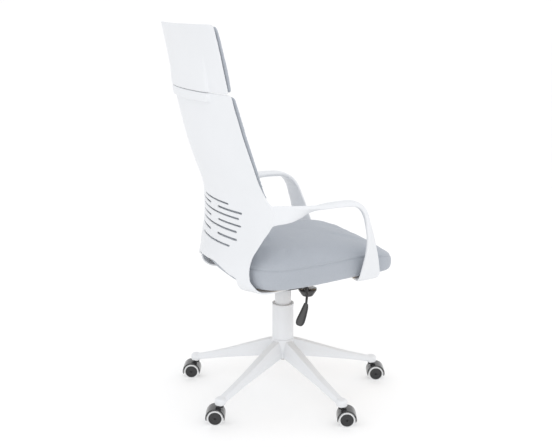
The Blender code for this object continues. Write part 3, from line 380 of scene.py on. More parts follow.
def smooth_rows(table, times):
    """The table's rows with more rows between them, on a curve through every row."""
    rows = np.array(table, float)
    made = []
    for n in range(len(rows) - 1):
        a, b = rows[max(n - 1, 0)], rows[n]
        c, d = rows[n + 1], rows[min(n + 2, len(rows) - 1)]
        for k in range(times):
            t = k / times
            made.append(0.5 * (2 * b + (c - a) * t + (2 * a - 5 * b + 4 * c - d) * t**2
                               + (3 * b - a - 3 * c + d) * t**3))
    made.append(rows[-1])
    return made


def leg_way(number):
    return turn(FIRST_LEG + 2 * math.pi * number / LEGS)


def leg_shape(number):
    out = leg_way(number)
    side = Vector((-out.y, out.x, 0.0))
    points, count = [], 0
    for reach, foot, top, wide, ridge in smooth_rows(LEG_SHAPE, 8):
        middle = foot + 0.38 * (top - foot)
        section = rounded(((-wide + 0.002, foot), (wide - 0.002, foot), (wide, foot + 0.003), (wide, middle),
                           (ridge, top), (0.0, top + 0.0006), (-ridge, top), (-wide, middle),
                           (-wide, foot + 0.003)), 0.0022, 3)
        count = len(section)
        points += [COLUMN + out * reach + side * w + up(z) for w, z in section]
    return points, rows_to_faces(len(points) // count, count)


def cut(piece_mesh, cutter_points, cutter_faces):
    """Cuts one closed shape out of a mesh."""
    target = in_scene("target", piece_mesh)
    tool = in_scene("tool", mesh_of("tool", cutter_points, cutter_faces))
    step = target.modifiers.new("cut", "BOOLEAN")
    step.operation = "DIFFERENCE"
    step.solver = "EXACT"
    step.object = tool
    return baked(target, tool)


def baked(target, *helpers):
    """The object's mesh with its modifiers applied. The object and its helpers are removed."""
    bpy.context.view_layer.update()
    graph = bpy.context.evaluated_depsgraph_get()
    mesh = bpy.data.meshes.new_from_object(target.evaluated_get(graph), depsgraph=graph)
    for made in (target, *helpers):
        bpy.data.objects.remove(made, do_unlink=True)
    return mesh


def reskinned(mesh, voxel, passes):
    """The mesh with an even skin of this voxel size in place of its own, then eased."""
    source = in_scene("source", mesh)
    remesh = source.modifiers.new("skin", "REMESH")
    remesh.mode = "VOXEL"
    remesh.voxel_size = voxel
    return eased(source, passes)


def eased(piece, passes):
    """The object's mesh, smoothed by this many passes. The object is removed."""
    soften = piece.modifiers.new("soften", "SMOOTH")
    soften.factor = 0.5
    soften.iterations = passes
    return baked(piece)


def melted(name, shape, voxel, passes):
    """Closed shapes run together into one skin, with their edges and inside corners softened."""
    mesh = reskinned(mesh_of(name, *shape), voxel * (1.0), passes)
    mesh.shade_smooth()
    return mesh


boss_profile = (
    (0.0, BOSS_FOOT), (BOSS_R - 0.001, BOSS_FOOT), (BOSS_R, BOSS_FOOT + 0.001),
    (BOSS_R, LEG_TIP_TOP - 0.006), (BOSS_R - 0.004, LEG_TIP_TOP - 0.001), (0.0, LEG_TIP_TOP + 0.0006))
hub_profile = (
    (0.0, HUB_FOOT), (HUB_R - 0.003, HUB_FOOT), (HUB_R, HUB_FOOT + 0.003), (HUB_R, HUB_TOP - 0.001),
    (HUB_R - 0.001, HUB_TOP), (0.0, HUB_TOP))
base_shapes = [lathe(hub_profile, 72, 0.001, COLUMN)]
for number in range(LEGS):
    base_shapes.append(leg_shape(number))
    stem_place = COLUMN + leg_way(number) * STEM_CIRCLE
    base_shapes.append(lathe(boss_profile, 40, 0.001, stem_place))
base_mesh = melted("star_base_moulding", join_shapes(*base_shapes), BASE_VOXEL, 5)
bore = lathe(((0.0, 0.100), (0.0184, 0.100), (0.0184, HUB_FOOT), (0.0229, HUB_TOP), (0.0229, 0.190),
              (0.0, 0.190)), 64, 0.0003, COLUMN)
base_mesh = cut(base_mesh, *bore)
base_mesh.shade_smooth()
base_mesh.set_sharp_from_angle(angle=math.radians(50))
show("star_base_moulding", base_mesh, white_nylon, "base", "white_nylon", "star_base")


# ---------------------------------------------------------------- casters
# Five twin-wheel casters. Each has a glossy black nylon hood over the upper half of its wheels, a
# bright steel stem, a black steel axle, and two black discs with soft white treads pressed round them.
WHEEL_R = 0.025
HUB_CAP_R = 0.0085
TREAD_THICK = 0.0053
DISC_R = WHEEL_R - TREAD_THICK
WHEEL_WIDE = 0.0175
WEB_THICK = 0.0135
WHEEL_PLAY = 0.0006
HOOD_R = 0.0295
HOOD_WALL = 0.0028
HOOD_WIDE = 0.053
HOOD_STEPS, END_STEPS = 44, 3
WEB_SIDES, WEB_LOW_R = 40, 0.0150
HOOD_FROM, HOOD_TO = math.radians(-18), math.radians(196)
STEM_R = 0.0055
TRAIL = 0.015
TRAIL_DEG = (65.0, 65.0, 65.0, 245.0, 245.0)

black_gloss = moulded_finish(
    "black_gloss", (0.011, 0.011, 0.012), (0.030, 0.030, 0.031), 0.17, 0.35, 0.00001)
disc_black = moulded_finish("disc_black", (0.022, 0.022, 0.024), (0.05, 0.05, 0.052), 0.36, 0.05, 0.00003)
white_tread = moulded_finish("white_tread", (0.80, 0.805, 0.81), (0.70, 0.70, 0.70), 0.55, 0.0, 0.00008)


def metal_finish(name, colour, roughness, brushed_scale, metallic=1.0, depth=0.00002):
    """A turned or plated metal with fine tool marks and slight tarnish."""
    finish, tree, shader = new_finish(name)
    stretch = tree.nodes.new("ShaderNodeMapping")
    stretch.inputs["Scale"].default_value = (1.0, 1.0, brushed_scale)
    tree.links.new(object_place(tree), stretch.inputs["Vector"])
    marks = noise(tree, stretch.outputs["Vector"], 260.0, 3.0)
    cloud = noise(tree, object_place(tree), 40.0, 4.0)
    dull = tuple(c * 0.78 for c in colour)
    tree.links.new(blend_colour(tree, cloud, dull, colour), shader.inputs["Base Color"])
    shader.inputs["Metallic"].default_value = metallic
    tree.links.new(plus(tree, times(tree, marks, 0.16), roughness - 0.08),
                   shader.inputs["Roughness"])
    bumped(tree, shader, marks, depth)
    return finish


bright_steel = metal_finish("bright_steel", (0.66, 0.665, 0.68), 0.26, 8.0)
black_steel = metal_finish("black_steel", (0.022, 0.022, 0.024), 0.42, 1.0, 0.0, 0.00012)


def hood_shape():
    """The hood about its axle, with +X as the trail, +Y up and +Z across."""
    inner, half = HOOD_R - HOOD_WALL, HOOD_WIDE / 2
    section = rounded(((inner, -half + 0.0005), (HOOD_R - 0.0012, -half), (HOOD_R, -half + 0.003),
                       (HOOD_R + 0.0004, 0.0), (HOOD_R, half - 0.003), (HOOD_R - 0.0012, half),
                       (inner, half - 0.0005), (inner, 0.0)), 0.0009, 3)
    points = []
    for n in range(HOOD_STEPS + 1):
        angle = HOOD_FROM + (HOOD_TO - HOOD_FROM) * n / HOOD_STEPS
        ends = min(n, HOOD_STEPS - n) / END_STEPS
        trim = 1.0 if ends >= 1.0 else 0.90 + 0.10 * math.sin(ends * math.pi / 2)
        for r, w in section:
            points.append(turn(angle) * (inner + (r - inner) * (0.65 + 0.35 * min(ends, 1.0)))
                          + up(w * trim))
    arch = (points, rows_to_faces(HOOD_STEPS + 1, len(section)))
    web_outline = []
    for n in range(WEB_SIDES):
        way = turned(n, WEB_SIDES)
        upper = 0.5 + 0.5 * math.tanh((way.y + 0.12) * 9.0)
        web_outline.append(way * (WEB_LOW_R + (inner + 0.0008 - WEB_LOW_R) * upper))
    web = [p + up(w) for w in (-WEB_THICK / 2, WEB_THICK / 2) for p in web_outline]
    return join_shapes(arch, (web, rows_to_faces(2, WEB_SIDES)))


def stem_boss(low, high, radius):
    """Short upright boss, in the hood's own axes, where the stem drops in behind the axle."""
    to = Matrix.Rotation(-math.pi / 2, 4, "X")
    points, faces = lathe(((0.0, low), (radius, low), (radius, high), (0.0, high)), 32, 0.0008)
    return [to @ p + Vector((-TRAIL, 0.0, 0.0)) for p in points], faces


hood_mesh = melted(
    "caster_hood_form", join_shapes(hood_shape(), stem_boss(0.0262, 0.0315, 0.0104)), 0.0007, 3)
hood_mesh = cut(hood_mesh, *stem_boss(0.0125, 0.045, STEM_R + 0.0004))
hood_mesh.shade_smooth()
hood_mesh.set_sharp_from_angle(angle=math.radians(52))

disc_profile = (
    (0.0034, 0.0), (DISC_R, 0.0), (DISC_R, WHEEL_WIDE - 0.0004), (DISC_R - 0.0012, WHEEL_WIDE + 0.0006),
    (DISC_R - 0.0026, WHEEL_WIDE + 0.0004), (DISC_R - 0.0036, WHEEL_WIDE - 0.0008),
    (HUB_CAP_R, WHEEL_WIDE - 0.0002), (HUB_CAP_R - 0.0013, WHEEL_WIDE + 0.0012),
    (0.0042, WHEEL_WIDE + 0.0012),
    (0.0034, WHEEL_WIDE + 0.0004))
tread_profile = (
    (DISC_R + 0.0003, 0.0), (WHEEL_R - 0.0006, 0.0), (WHEEL_R, 0.0012), (WHEEL_R, WHEEL_WIDE - 0.0030),
    (WHEEL_R - 0.0014, WHEEL_WIDE - 0.0008), (WHEEL_R - 0.0034, WHEEL_WIDE), (DISC_R + 0.0003, WHEEL_WIDE))
stem_profile = (
    (0.0, 0.038), (STEM_R, 0.038), (STEM_R, BOSS_FOOT - 0.004), (STEM_R + 0.003, BOSS_FOOT - 0.004),
    (STEM_R + 0.003, BOSS_FOOT - 0.0003), (STEM_R, BOSS_FOOT - 0.0003), (STEM_R, 0.0775), (0.0045, 0.0785),
    (0.0, 0.0785))
axle_profile = ((0.0, -0.0232), (0.003, -0.0232), (0.003, 0.0232), (0.0, 0.0232))

for number in range(LEGS):
    tag = number + 1
    stem_place = COLUMN + leg_way(number) * STEM_CIRCLE
    trail = turn(math.radians(TRAIL_DEG[number]))
    across = Vector((trail.y, -trail.x, 0.0))
    axle = stem_place + trail * TRAIL + up(WHEEL_R)
    to = Matrix.Translation(axle) @ Matrix((
        (trail.x, 0.0, across.x, 0.0), (trail.y, 0.0, across.y, 0.0),
        (0.0, 1.0, 0.0, 0.0), (0.0, 0.0, 0.0, 1.0)))
    placed_hood = hood_mesh.copy()
    placed_hood.transform(to)
    show(f"hood_{tag}", placed_hood, black_gloss, f"caster_{tag}", "black_nylon", f"caster_hood_{tag}")
    show_turned(f"stem_{tag}", stem_profile, 32, 0.0004, bright_steel, "base", "bright_steel",
                f"caster_stem_{tag}", stem_place)
    show_turned(f"axle_{tag}", axle_profile, 24, 0.0004, black_steel, f"caster_{tag}", "black_steel",
                f"caster_axle_{tag}", to=to)
    for side, letter in ((1, "a"), (-1, "b")):
        outward = to @ Matrix.Scale(side, 4, (0.0, 0.0, 1.0)) @ Matrix.Translation(
            (0.0, 0.0, WEB_THICK / 2 + WHEEL_PLAY))
        body = f"wheel_{tag}_{letter}"
        show_turned(f"disc_{tag}_{letter}", disc_profile, 56, 0.0005, disc_black, body, "black_nylon",
                    f"caster_wheel_{tag}_{letter}", to=outward, sharp_deg=60)
        show_turned(f"tread_{tag}_{letter}", tread_profile, 64, 0.0008, white_tread, body, "white_tread",
                    f"caster_tread_{tag}_{letter}", to=outward, sharp_deg=60)


# ---------------------------------------------------------------- gas lift
# A black steel tube stands in the hub's taper and a thinner pressure cylinder slides in it on a
# nylon bush. Two white sleeves hide them and telescope: the lower has a rolled lip.
TUBE_R, TUBE_INNER_R, TUBE_TOP = 0.0225, 0.0207, 0.290
TAPER_R, TAPER_INNER_R, TUBE_FOOT = 0.0175, 0.0157, 0.110
lower_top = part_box("lift_cover_lower")[1].z
upper_low, upper_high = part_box("lift_cover_upper")
upper_r = (upper_high.x - upper_low.x) / 2
lower_profile = (
    (0.0237, HUB_TOP + 0.0003), (0.0340, HUB_TOP + 0.0003), (0.0338, lower_top - 0.0085),
    (0.0348, lower_top - 0.0072), (0.0348, lower_top - 0.0012), (0.0336, lower_top),
    (upper_r + 0.0005, lower_top), (upper_r + 0.0005, lower_top - 0.0020), (0.0318, lower_top - 0.0060),
    (0.0318, HUB_TOP + 0.0040),
    (0.0237, HUB_TOP + 0.0040))
upper_profile = (
    (upper_r - 0.0014, upper_low.z), (upper_r, upper_low.z), (upper_r, upper_high.z), (0.0144, upper_high.z),
    (0.0144, upper_high.z - 0.0026), (upper_r - 0.0014, upper_high.z - 0.0026))
show_turned("lower_sleeve", lower_profile, 96, 0.0007, white_nylon, "base", "white_nylon",
            "lift_cover_lower", COLUMN)
show_turned("upper_sleeve", upper_profile, 96, 0.0005, white_nylon, "lift", "white_nylon",
            "lift_cover_upper", COLUMN)
tube_profile = (
    (0.0062, TUBE_FOOT), (TAPER_R, TUBE_FOOT), (TAPER_R, HUB_FOOT), (0.0217, 0.1800), (0.0217, 0.1830),
    (TUBE_R, 0.1850), (TUBE_R, TUBE_TOP), (TUBE_INNER_R, TUBE_TOP), (TUBE_INNER_R, 0.1850),
    (TAPER_INNER_R, HUB_FOOT), (TAPER_INNER_R, 0.1130), (0.0062, 0.1130))
show_turned("outer_tube", tube_profile, 64, 0.0004, black_steel, "base", "black_steel",
            "cylinder_tube", COLUMN)
cylinder_low, cylinder_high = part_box("pressure_cylinder")
cylinder_profile = (
    (0.0053, cylinder_low.z), (0.0140, cylinder_low.z), (0.0140, cylinder_high.z - 0.001),
    (0.0130, cylinder_high.z), (0.0046, cylinder_high.z), (0.0046, cylinder_high.z - 0.016),
    (0.0, cylinder_high.z - 0.016), (0.0, 0.304), (0.0118, 0.304), (0.0118, 0.160), (0.0053, 0.160))
show_turned("gas_cylinder", cylinder_profile, 56, 0.0004, black_steel, "lift", "black_steel",
            "pressure_cylinder", COLUMN)


# ---------------------------------------------------------------- tilt mechanism
# A folded steel tray clamps on the lift's taper. The seat plate hinges on a pin through its sides,
# and a coil spring between the tray's nose and a big lobed knob holds the seat level.
spring_low, spring_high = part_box("tension_spring")
SPRING_PLACE = Vector(((spring_low.x + spring_high.x) / 2, (spring_low.y + spring_high.y) / 2, 0.0))
SPRING_R, SPRING_WIRE, SPRING_TURNS = 0.0165, 0.0026, 5
knob_low, knob_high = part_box("tension_knob")
KNOB_R, KNOB_HIGH, KNOB_LOBES = 0.031, 0.025, 6



def repaint(finish, *names):
    """Gives CAD nodes that stay in the scene their finish."""
    for name in names:
        nodes[name].data.materials.clear()
        nodes[name].data.materials.append(finish)


repaint(black_steel, "mechanism_housing", "seat_plate", "retaining_clip")
repaint(bright_steel, "pivot_pin", "piston_rod", "thrust_bearing", "release_button")
repaint(disc_black, "guide_bush")

coil_points, coil_sides = [], 12
coil_steps = 40 * SPRING_TURNS
coil_foot, coil_top = spring_low.z + SPRING_WIRE, spring_high.z - SPRING_WIRE
for n in range(coil_steps + 1):
    out = turn(2 * math.pi * SPRING_TURNS * n / coil_steps)
    middle = SPRING_PLACE + out * SPRING_R + up(coil_foot + (coil_top - coil_foot) * n / coil_steps)
    for k in range(coil_sides):
        angle = 2 * math.pi * k / coil_sides
        coil_points.append(middle + out * (SPRING_WIRE * math.cos(angle)) + up(SPRING_WIRE * math.sin(angle)))
coil = show("coil_spring", mesh_of("coil_spring", coil_points, rows_to_faces(coil_steps + 1, coil_sides)),
            bright_steel, "lift", "bright_steel", "tension_spring")
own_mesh(coil)

knob_points, knob_steps = [], 96
knob_rows = smooth_rows((
    (0.40, 0.0), (0.52, 0.0004), (0.60, 0.0020), (0.76, 0.0090), (0.95, 0.0180), (1.0, 0.0215),
    (0.985, 0.0240), (0.93, KNOB_HIGH)), 4)
for share, height in knob_rows:
    for n in range(knob_steps):
        angle = 2 * math.pi * n / knob_steps
        dent = 0.05 * (0.5 + 0.5 * math.cos(KNOB_LOBES * angle)) ** 2
        reach = KNOB_R * share * (1.0 - dent * min(1.0, height / 0.006))
        knob_points.append(SPRING_PLACE + turn(angle) * reach + up(knob_low.z + height))
BOLT_R, bolt_foot = 0.0039, knob_low.z + 0.004
bolt = lathe(((0.0, bolt_foot), (BOLT_R, bolt_foot), (BOLT_R, knob_high.z), (0.0, knob_high.z)),
             24, 0.0004, SPRING_PLACE)
knob_shape = join_shapes((knob_points, rows_to_faces(len(knob_rows), knob_steps)), bolt)
show("knob", mesh_of("knob", *knob_shape, 50), black_gloss, "knob", "black_nylon", "tension_knob")


# ---------------------------------------------------------------- height lever
# A bent black rod reaches from the release button out past the seat's edge and down, where a flat
# moulded paddle is pushed on its end.
LEVER_R = 0.0038
LEVER_PATH = (
    (0.0045, 0.0, 0.3957), (-0.0565, -0.022, 0.3957), (-0.078, -0.0305, 0.3957), (-0.094, -0.0365, 0.382),
    (-0.104, -0.0345, 0.352), (-0.11275, -0.02575, 0.3145))
PADDLE = (
    # centre, half width, half thickness
    (-0.1104, -0.0281, 0.3245, 0.0058, 0.0054), (-0.1106, -0.0277, 0.3235, 0.0068, 0.0058),
    (-0.1125, -0.0240, 0.3130, 0.0095, 0.0060), (-0.1180, -0.0140, 0.2950, 0.0120, 0.0052),
    (-0.1230, -0.0040, 0.2790, 0.0138, 0.0044), (-0.1255, 0.0010, 0.2710, 0.0130, 0.0039),
    (-0.1272, 0.0045, 0.2655, 0.0098, 0.0033), (-0.1280, 0.0060, 0.2632, 0.0050, 0.0022))


def swept_tube(path, radius, sides):
    """(points, faces) of a round bar along a smooth path."""
    centres = [Vector(p) for p in path]
    points = []
    for n, centre in enumerate(centres):
        way = (centres[min(n + 1, len(centres) - 1)] - centres[max(n - 1, 0)]).normalized()
        side = way.cross(Vector((0.3, 0.1, 1.0))).normalized()
        up = side.cross(way)
        for k in range(sides):
            angle = 2 * math.pi * k / sides
            points.append(centre + radius * (math.cos(angle) * side + math.sin(angle) * up))
    return points, rows_to_faces(len(centres), sides)


lever_path = rounded([COLUMN + Vector(p) for p in LEVER_PATH], 0.016, 8, closed=False)
show("lever_bar", mesh_of("lever_bar", *swept_tube(lever_path, LEVER_R, 20), 50), black_steel,
     "lever", "black_steel", "lever_rod")
paddle_start, paddle_end = Vector(PADDLE[0][:3]), Vector(PADDLE[-1][:3])
paddle_way = (paddle_end - paddle_start).normalized()
paddle_broad = paddle_way.cross(Vector((0.9063, -0.4226, 0.0))).normalized()
paddle_thin = paddle_broad.cross(paddle_way)
paddle_points, paddle_sides = [], 32
paddle_rows = smooth_rows(PADDLE, 6)
for x, y, z, wide, thick in paddle_rows:
    for k in range(paddle_sides):
        c, s = math.cos(2 * math.pi * k / paddle_sides), math.sin(2 * math.pi * k / paddle_sides)
        reach = (abs(c) ** 2.6 + abs(s) ** 2.6) ** (-1 / 2.6)
        paddle_points.append(COLUMN + Vector((x, y, z)) + paddle_broad * (wide * c * reach)
                             + paddle_thin * (thick * s * reach))
paddle_faces = rows_to_faces(len(paddle_rows), paddle_sides)
show("lever_paddle", mesh_of("lever_paddle", paddle_points, paddle_faces, 70), black_gloss, "lever",
     "black_nylon", "lever_handle")


# ---------------------------------------------------------------- seat
# A moulded plywood board under a deep foam cushion. The cover is light blue-grey cloth, cut as a
# top panel and a side band that are sewn together all round, and it is stapled under the board.
SEAT_FOOT, SEAT_SEAM, SEAT_CROWN = 0.418, 0.480, 0.535
SEAT_DROOP = 0.0595
DROOP_FROM, DROOP_RUN = -0.120, 0.195
SEAM_DROOP = 0.41
SEAT_HALF = 0.236
SEAT_OUTLINE = (
    # share of the half width, then y
    (0.000, -0.315), (0.424, -0.314), (0.636, -0.305), (0.754, -0.285), (0.814, -0.250), (0.839, -0.200),
    (0.886, -0.130), (0.945, -0.050), (0.987, 0.020), (1.000, 0.080), (0.979, 0.120), (0.903, 0.153),
    (0.775, 0.177), (0.593, 0.192), (0.297, 0.200), (0.000, 0.202))
SEAT_PROFILE = (
    # inset, height, share of the droop at the front
    (0.060, SEAT_FOOT + 0.0010, 0.0), (0.020, SEAT_FOOT + 0.0008, 0.0), (0.0075, SEAT_FOOT + 0.0010, 0.0),
    (0.0030, SEAT_FOOT + 0.0060, 0.0), (0.0012, SEAT_FOOT + 0.0180, 0.08), (0.0004, SEAT_FOOT + 0.0380, 0.20),
    (0.0012, SEAT_SEAM - 0.0080, 0.33), (0.0036, SEAT_SEAM, SEAM_DROOP), (0.0042, SEAT_SEAM + 0.0085, 0.50),
    (0.0105, SEAT_SEAM + 0.0200, 0.68), (0.0215, SEAT_SEAM + 0.0290, 0.84),
    (0.0390, SEAT_SEAM + 0.0380, 0.97),
    (0.0770, SEAT_CROWN - 0.0090, 1.08), (0.1250, SEAT_CROWN - 0.0030, 1.00), (0.1800, SEAT_CROWN, 0.80))


# Woven cover cloth: over-and-under threads in three directions of view, a heathered tone, and pills. Where
# the weave runs low the cloth is also painted darker: painted shade in the weave's hollows, on top of the
# real thread pattern.
woven_cloth, cloth_in, cloth_out = paint_group(
    "woven_cloth", (("Pitch", 900.0), ("Heather", 1.0)),
    (("Height", "NodeSocketFloat"), ("ThreadAndShade", "NodeSocketFloat"), ("Heathered", "NodeSocketFloat")))
split = woven_cloth.nodes.new("ShaderNodeSeparateXYZ")
woven_cloth.links.new(object_place(woven_cloth), split.inputs[0])
facing = woven_cloth.nodes.new("ShaderNodeSeparateXYZ")
woven_cloth.links.new(woven_cloth.nodes.new("ShaderNodeTexCoord").outputs["Normal"], facing.inputs[0])
waves = [math_node(woven_cloth, "SINE", times(woven_cloth, split.outputs[k],
                                                  cloth_in.outputs["Pitch"])) for k in range(3)]
checks = [times(woven_cloth, waves[(k + 1) % 3], waves[(k + 2) % 3]) for k in range(3)]
weights = [math_node(woven_cloth, "POWER", math_node(woven_cloth, "ABSOLUTE", facing.outputs[k]), 4.0)
           for k in range(3)]
total = plus(woven_cloth, plus(woven_cloth, weights[0], weights[1]), weights[2])
parts = [times(woven_cloth, checks[k], weights[k]) for k in range(3)]
woven = math_node(woven_cloth, "DIVIDE",
                  plus(woven_cloth, plus(woven_cloth, parts[0], parts[1]), parts[2]), total)
# The weave's height, 0 where a thread runs low and 1 where it lies on top; it is also the mask for the
# painted shade in the weave's hollows.
thread_and_shade = math_node(woven_cloth, "MULTIPLY_ADD", woven, 0.5)
woven_cloth.nodes[-1].inputs[2].default_value = 0.5
fuzz = noise(woven_cloth, object_place(woven_cloth), 1800.0, 2.0)
woven_cloth.links.new(plus(woven_cloth, thread_and_shade, times(woven_cloth, fuzz, 0.35)),
                      cloth_out.inputs["Height"])
woven_cloth.links.new(thread_and_shade, cloth_out.inputs["ThreadAndShade"])
flecks = noise(woven_cloth, object_place(woven_cloth), 260.0, 4.0, 0.7)
slow = noise(woven_cloth, object_place(woven_cloth), 7.0, 2.0)
heather = plus(woven_cloth, times(woven_cloth, flecks, 0.7),
                    times(woven_cloth, slow, 0.3))
woven_cloth.links.new(times(woven_cloth, heather, cloth_in.outputs["Heather"]),
                      cloth_out.inputs["Heathered"])


def cloth_finish(name, light, dark, pitch):
    finish, tree, shader = new_finish(name)
    cloth = use_group(tree, woven_cloth, Pitch=pitch, Heather=1.0)
    heathered = blend_colour(tree, cloth.outputs["Heathered"], dark, light)
    # Painted shade: the colour is darkened towards dark * 0.86 where the weave runs low, as if shadowed in
    # its hollows.
    shade = blend_colour(tree, cloth.outputs["ThreadAndShade"], tuple(c * 0.86 for c in dark), heathered)
    mixed = tree.nodes.new("ShaderNodeMix")
    mixed.data_type = "RGBA"
    mixed.inputs[0].default_value = 0.65
    tree.links.new(shade, mixed.inputs[6])
    tree.links.new(heathered, mixed.inputs[7])
    tree.links.new(mixed.outputs[2], shader.inputs["Base Color"])
    tree.links.new(plus(tree, times(tree, cloth.outputs["ThreadAndShade"], 0.12), 0.80),
                   shader.inputs["Roughness"])
    shader.inputs["Sheen Weight"].default_value = 0.22
    shader.inputs["Sheen Roughness"].default_value = 0.55
    shader.inputs["Specular IOR Level"].default_value = 0.30
    bumped(tree, shader, cloth.outputs["Height"], 0.00030, 0.8)
    return finish


grey_cloth = cloth_finish("grey_cloth", (0.500, 0.530, 0.575), (0.372, 0.398, 0.440), 2 * math.pi / 0.0018)

ply_finish, ply_tree, ply_shader = new_finish("birch_ply")
ply_stretch = ply_tree.nodes.new("ShaderNodeMapping")
ply_stretch.inputs["Scale"].default_value = (6.0, 60.0, 420.0)
ply_tree.links.new(object_place(ply_tree), ply_stretch.inputs["Vector"])
ply_grain = noise(ply_tree, ply_stretch.outputs["Vector"], 1.0, 6.0, 0.6)
ply_tree.links.new(blend_colour(ply_tree, ply_grain, (0.42, 0.29, 0.17), (0.70, 0.54, 0.36)),
                   ply_shader.inputs["Base Color"])
ply_tree.links.new(plus(ply_tree, times(ply_tree, ply_grain, 0.25), 0.5),
                   ply_shader.inputs["Roughness"])
bumped(ply_tree, ply_shader, ply_grain, 0.0002)
repaint(ply_finish, "seat_board")


def front_fall(y):
    """How far the crown has come down at this y, on its way over the front."""
    return SEAT_DROOP * np.clip((DROOP_FROM - y) / DROOP_RUN, 0.0, 1.0) ** 2


def seat_ring(inset, height, droop):
    """The seat's plan outline, drawn in evenly by inset, with its front let down."""
    half = smooth_rows([(SEAT_HALF * share, y) for share, y in SEAT_OUTLINE], 4)
    outline = [Vector((x, y, 0.0)) for x, y in half] + [Vector((-x, y, 0.0)) for x, y in half[-2:0:-1]]
    ring = []
    for n, spot in enumerate(outline):
        run = (outline[(n + 1) % len(outline)] - outline[n - 1]).normalized()
        inner = spot + Vector((-run.y, run.x, 0.0)) * inset
        ring.append(COLUMN + Vector((inner.x, inner.y, height - droop * float(front_fall(inner.y)))))
    return ring


def rows_of(mesh, what):
    """The mesh's points or normals, one row each."""
    values = np.zeros(len(mesh.vertices) * 3)
    mesh.vertices.foreach_get(what, values)
    return values.reshape(-1, 3)


def swelled(mesh, voxel, held, most, pressure=4.0, frames=18):
    """Foam pressing out against a sewn cover: the cloth swells between the seams that hold it.

    held gives, for rows of points, how firmly a seam or the board holds each. most is how far any may go.
    """
    skin = reskinned(mesh, voxel, 4)
    cover = in_scene("cover", skin)
    start = rows_of(skin, "co")
    seam = cover.vertex_groups.new(name="sewn")
    seam.add([int(n) for n in np.flatnonzero(held(start))], 1.0, "REPLACE")
    cloth = cover.modifiers.new("cloth", "CLOTH")
    settings = cloth.settings
    settings.use_pressure = True
    settings.uniform_pressure_force = pressure
    settings.tension_stiffness = 25
    settings.compression_stiffness = 20
    settings.shear_stiffness = 12
    settings.bending_stiffness = 3.0
    settings.mass = 0.35
    settings.quality = 6
    settings.effector_weights.gravity = 0.0
    settings.vertex_group_mass = "sewn"
    settings.pin_stiffness = 2.0
    cloth.collision_settings.use_collision = False
    cloth.point_cache.frame_start = 1
    cloth.point_cache.frame_end = frames
    scene = bpy.context.scene
    for n in range(1, frames + 1):
        scene.frame_set(n)
    graph = bpy.context.evaluated_depsgraph_get()
    shift = rows_of(cover.evaluated_get(graph).data, "co") - start
    scene.frame_set(1)
    far = np.linalg.norm(shift, axis=1, keepdims=True)
    shift *= np.minimum(1.0, most / np.maximum(far, 1e-9))
    result = skin.copy()
    result.vertices.foreach_set("co", (start + shift).ravel())
    bpy.data.objects.remove(cover, do_unlink=True)
    return eased(in_scene("settled", result), 6)


def sewn_in(mesh, depths_at):
    """Draws the cover in along its seams, each point by its depth, against its own normal."""
    mesh.update()
    places, normals = rows_of(mesh, "co"), rows_of(mesh, "normal")
    mesh.vertices.foreach_set("co", (places - normals * depths_at(places)[:, None]).ravel())
    mesh.update()


def finer(mesh):
    """One more level of subdivision, so that seams and swells have room to curve."""
    source = in_scene("finer", mesh)
    step = source.modifiers.new("finer", "SUBSURF")
    step.levels = step.render_levels = 1
    return baked(source)


def above_seat_seam(places):
    """How far above the seat's seam each point is, following the seam down at the front."""
    return places[:, 2] - SEAT_SEAM + SEAM_DROOP * front_fall(places[:, 1] - COLUMN.y)


def seat_seam_depths(places):
    """A sharp valley at the seam, with the turned-in cloth lying as a low ridge just above it."""
    above = above_seat_seam(places)
    valley = 0.0024 * np.exp(-(above / 0.0020) ** 2)
    ridge = 0.0009 * np.exp(-((above - 0.0062) / 0.0032) ** 2)
    return np.where(places[:, 2] > 0.44, valley - ridge, 0.0)


def seat_held(places):
    return (places[:, 2] < SEAT_FOOT + 0.010) | (np.abs(above_seat_seam(places)) < 0.004)


seat_points = []
seat_rows = smooth_rows(SEAT_PROFILE, 2)
for inset, height, droop in seat_rows:
    seat_points += seat_ring(inset, height, droop)
seat_count = len(seat_points) // len(seat_rows)
seat_faces = rows_to_faces(len(seat_rows), seat_count)
seat_mesh = finer(swelled(mesh_of("seat_cover", seat_points, seat_faces), 0.006, seat_held, 0.004))
sewn_in(seat_mesh, seat_seam_depths)
seat_mesh.shade_smooth()
seat_cover = show("seat_cover", seat_mesh, grey_cloth, "tilt", "grey_fabric", "seat_cushion")


# ---------------------------------------------------------------- back shell and arms
# One large white nylon moulding: a thin curved back with level vent slots, two arms that flow out
# of its sides and down to the seat, and two hooks that turn forward under the seat's rear corners.
SHELL_THICK = 0.006
SPLIT_Z = 0.990
TONGUE_HALF, TONGUE_PROUD = 0.150, 0.0100
TONGUE_FOOT, TONGUE_FADE = 0.960, 1.110
TONGUE_CORNER = 0.016
SHELL_HALF = 0.250
SHELL_BEND = (
    # height, rear face at the middle, curvature across
    (1.174, 0.3390, 0.63), (1.120, 0.3285, 0.64), (1.080, 0.3210, 0.64), (1.040, 0.3140, 0.65),
    (1.000, 0.3085, 0.70), (0.960, 0.3045, 0.77), (0.920, 0.2985, 0.86), (0.880, 0.2915, 0.94),
    (0.840, 0.2835, 1.04), (0.800, 0.2725, 1.09), (0.765, 0.2610, 1.09), (0.720, 0.2440, 1.09),
    (0.700, 0.2370, 1.09), (0.680, 0.2325, 1.09), (0.660, 0.2300, 1.09), (0.620, 0.2290, 1.09),
    (0.600, 0.2292, 1.09), (0.570, 0.2305, 1.09), (0.540, 0.2365, 1.146), (0.515, 0.2465, 1.288),
    (0.495, 0.2565, 1.63), (0.478, 0.2630, 1.91))
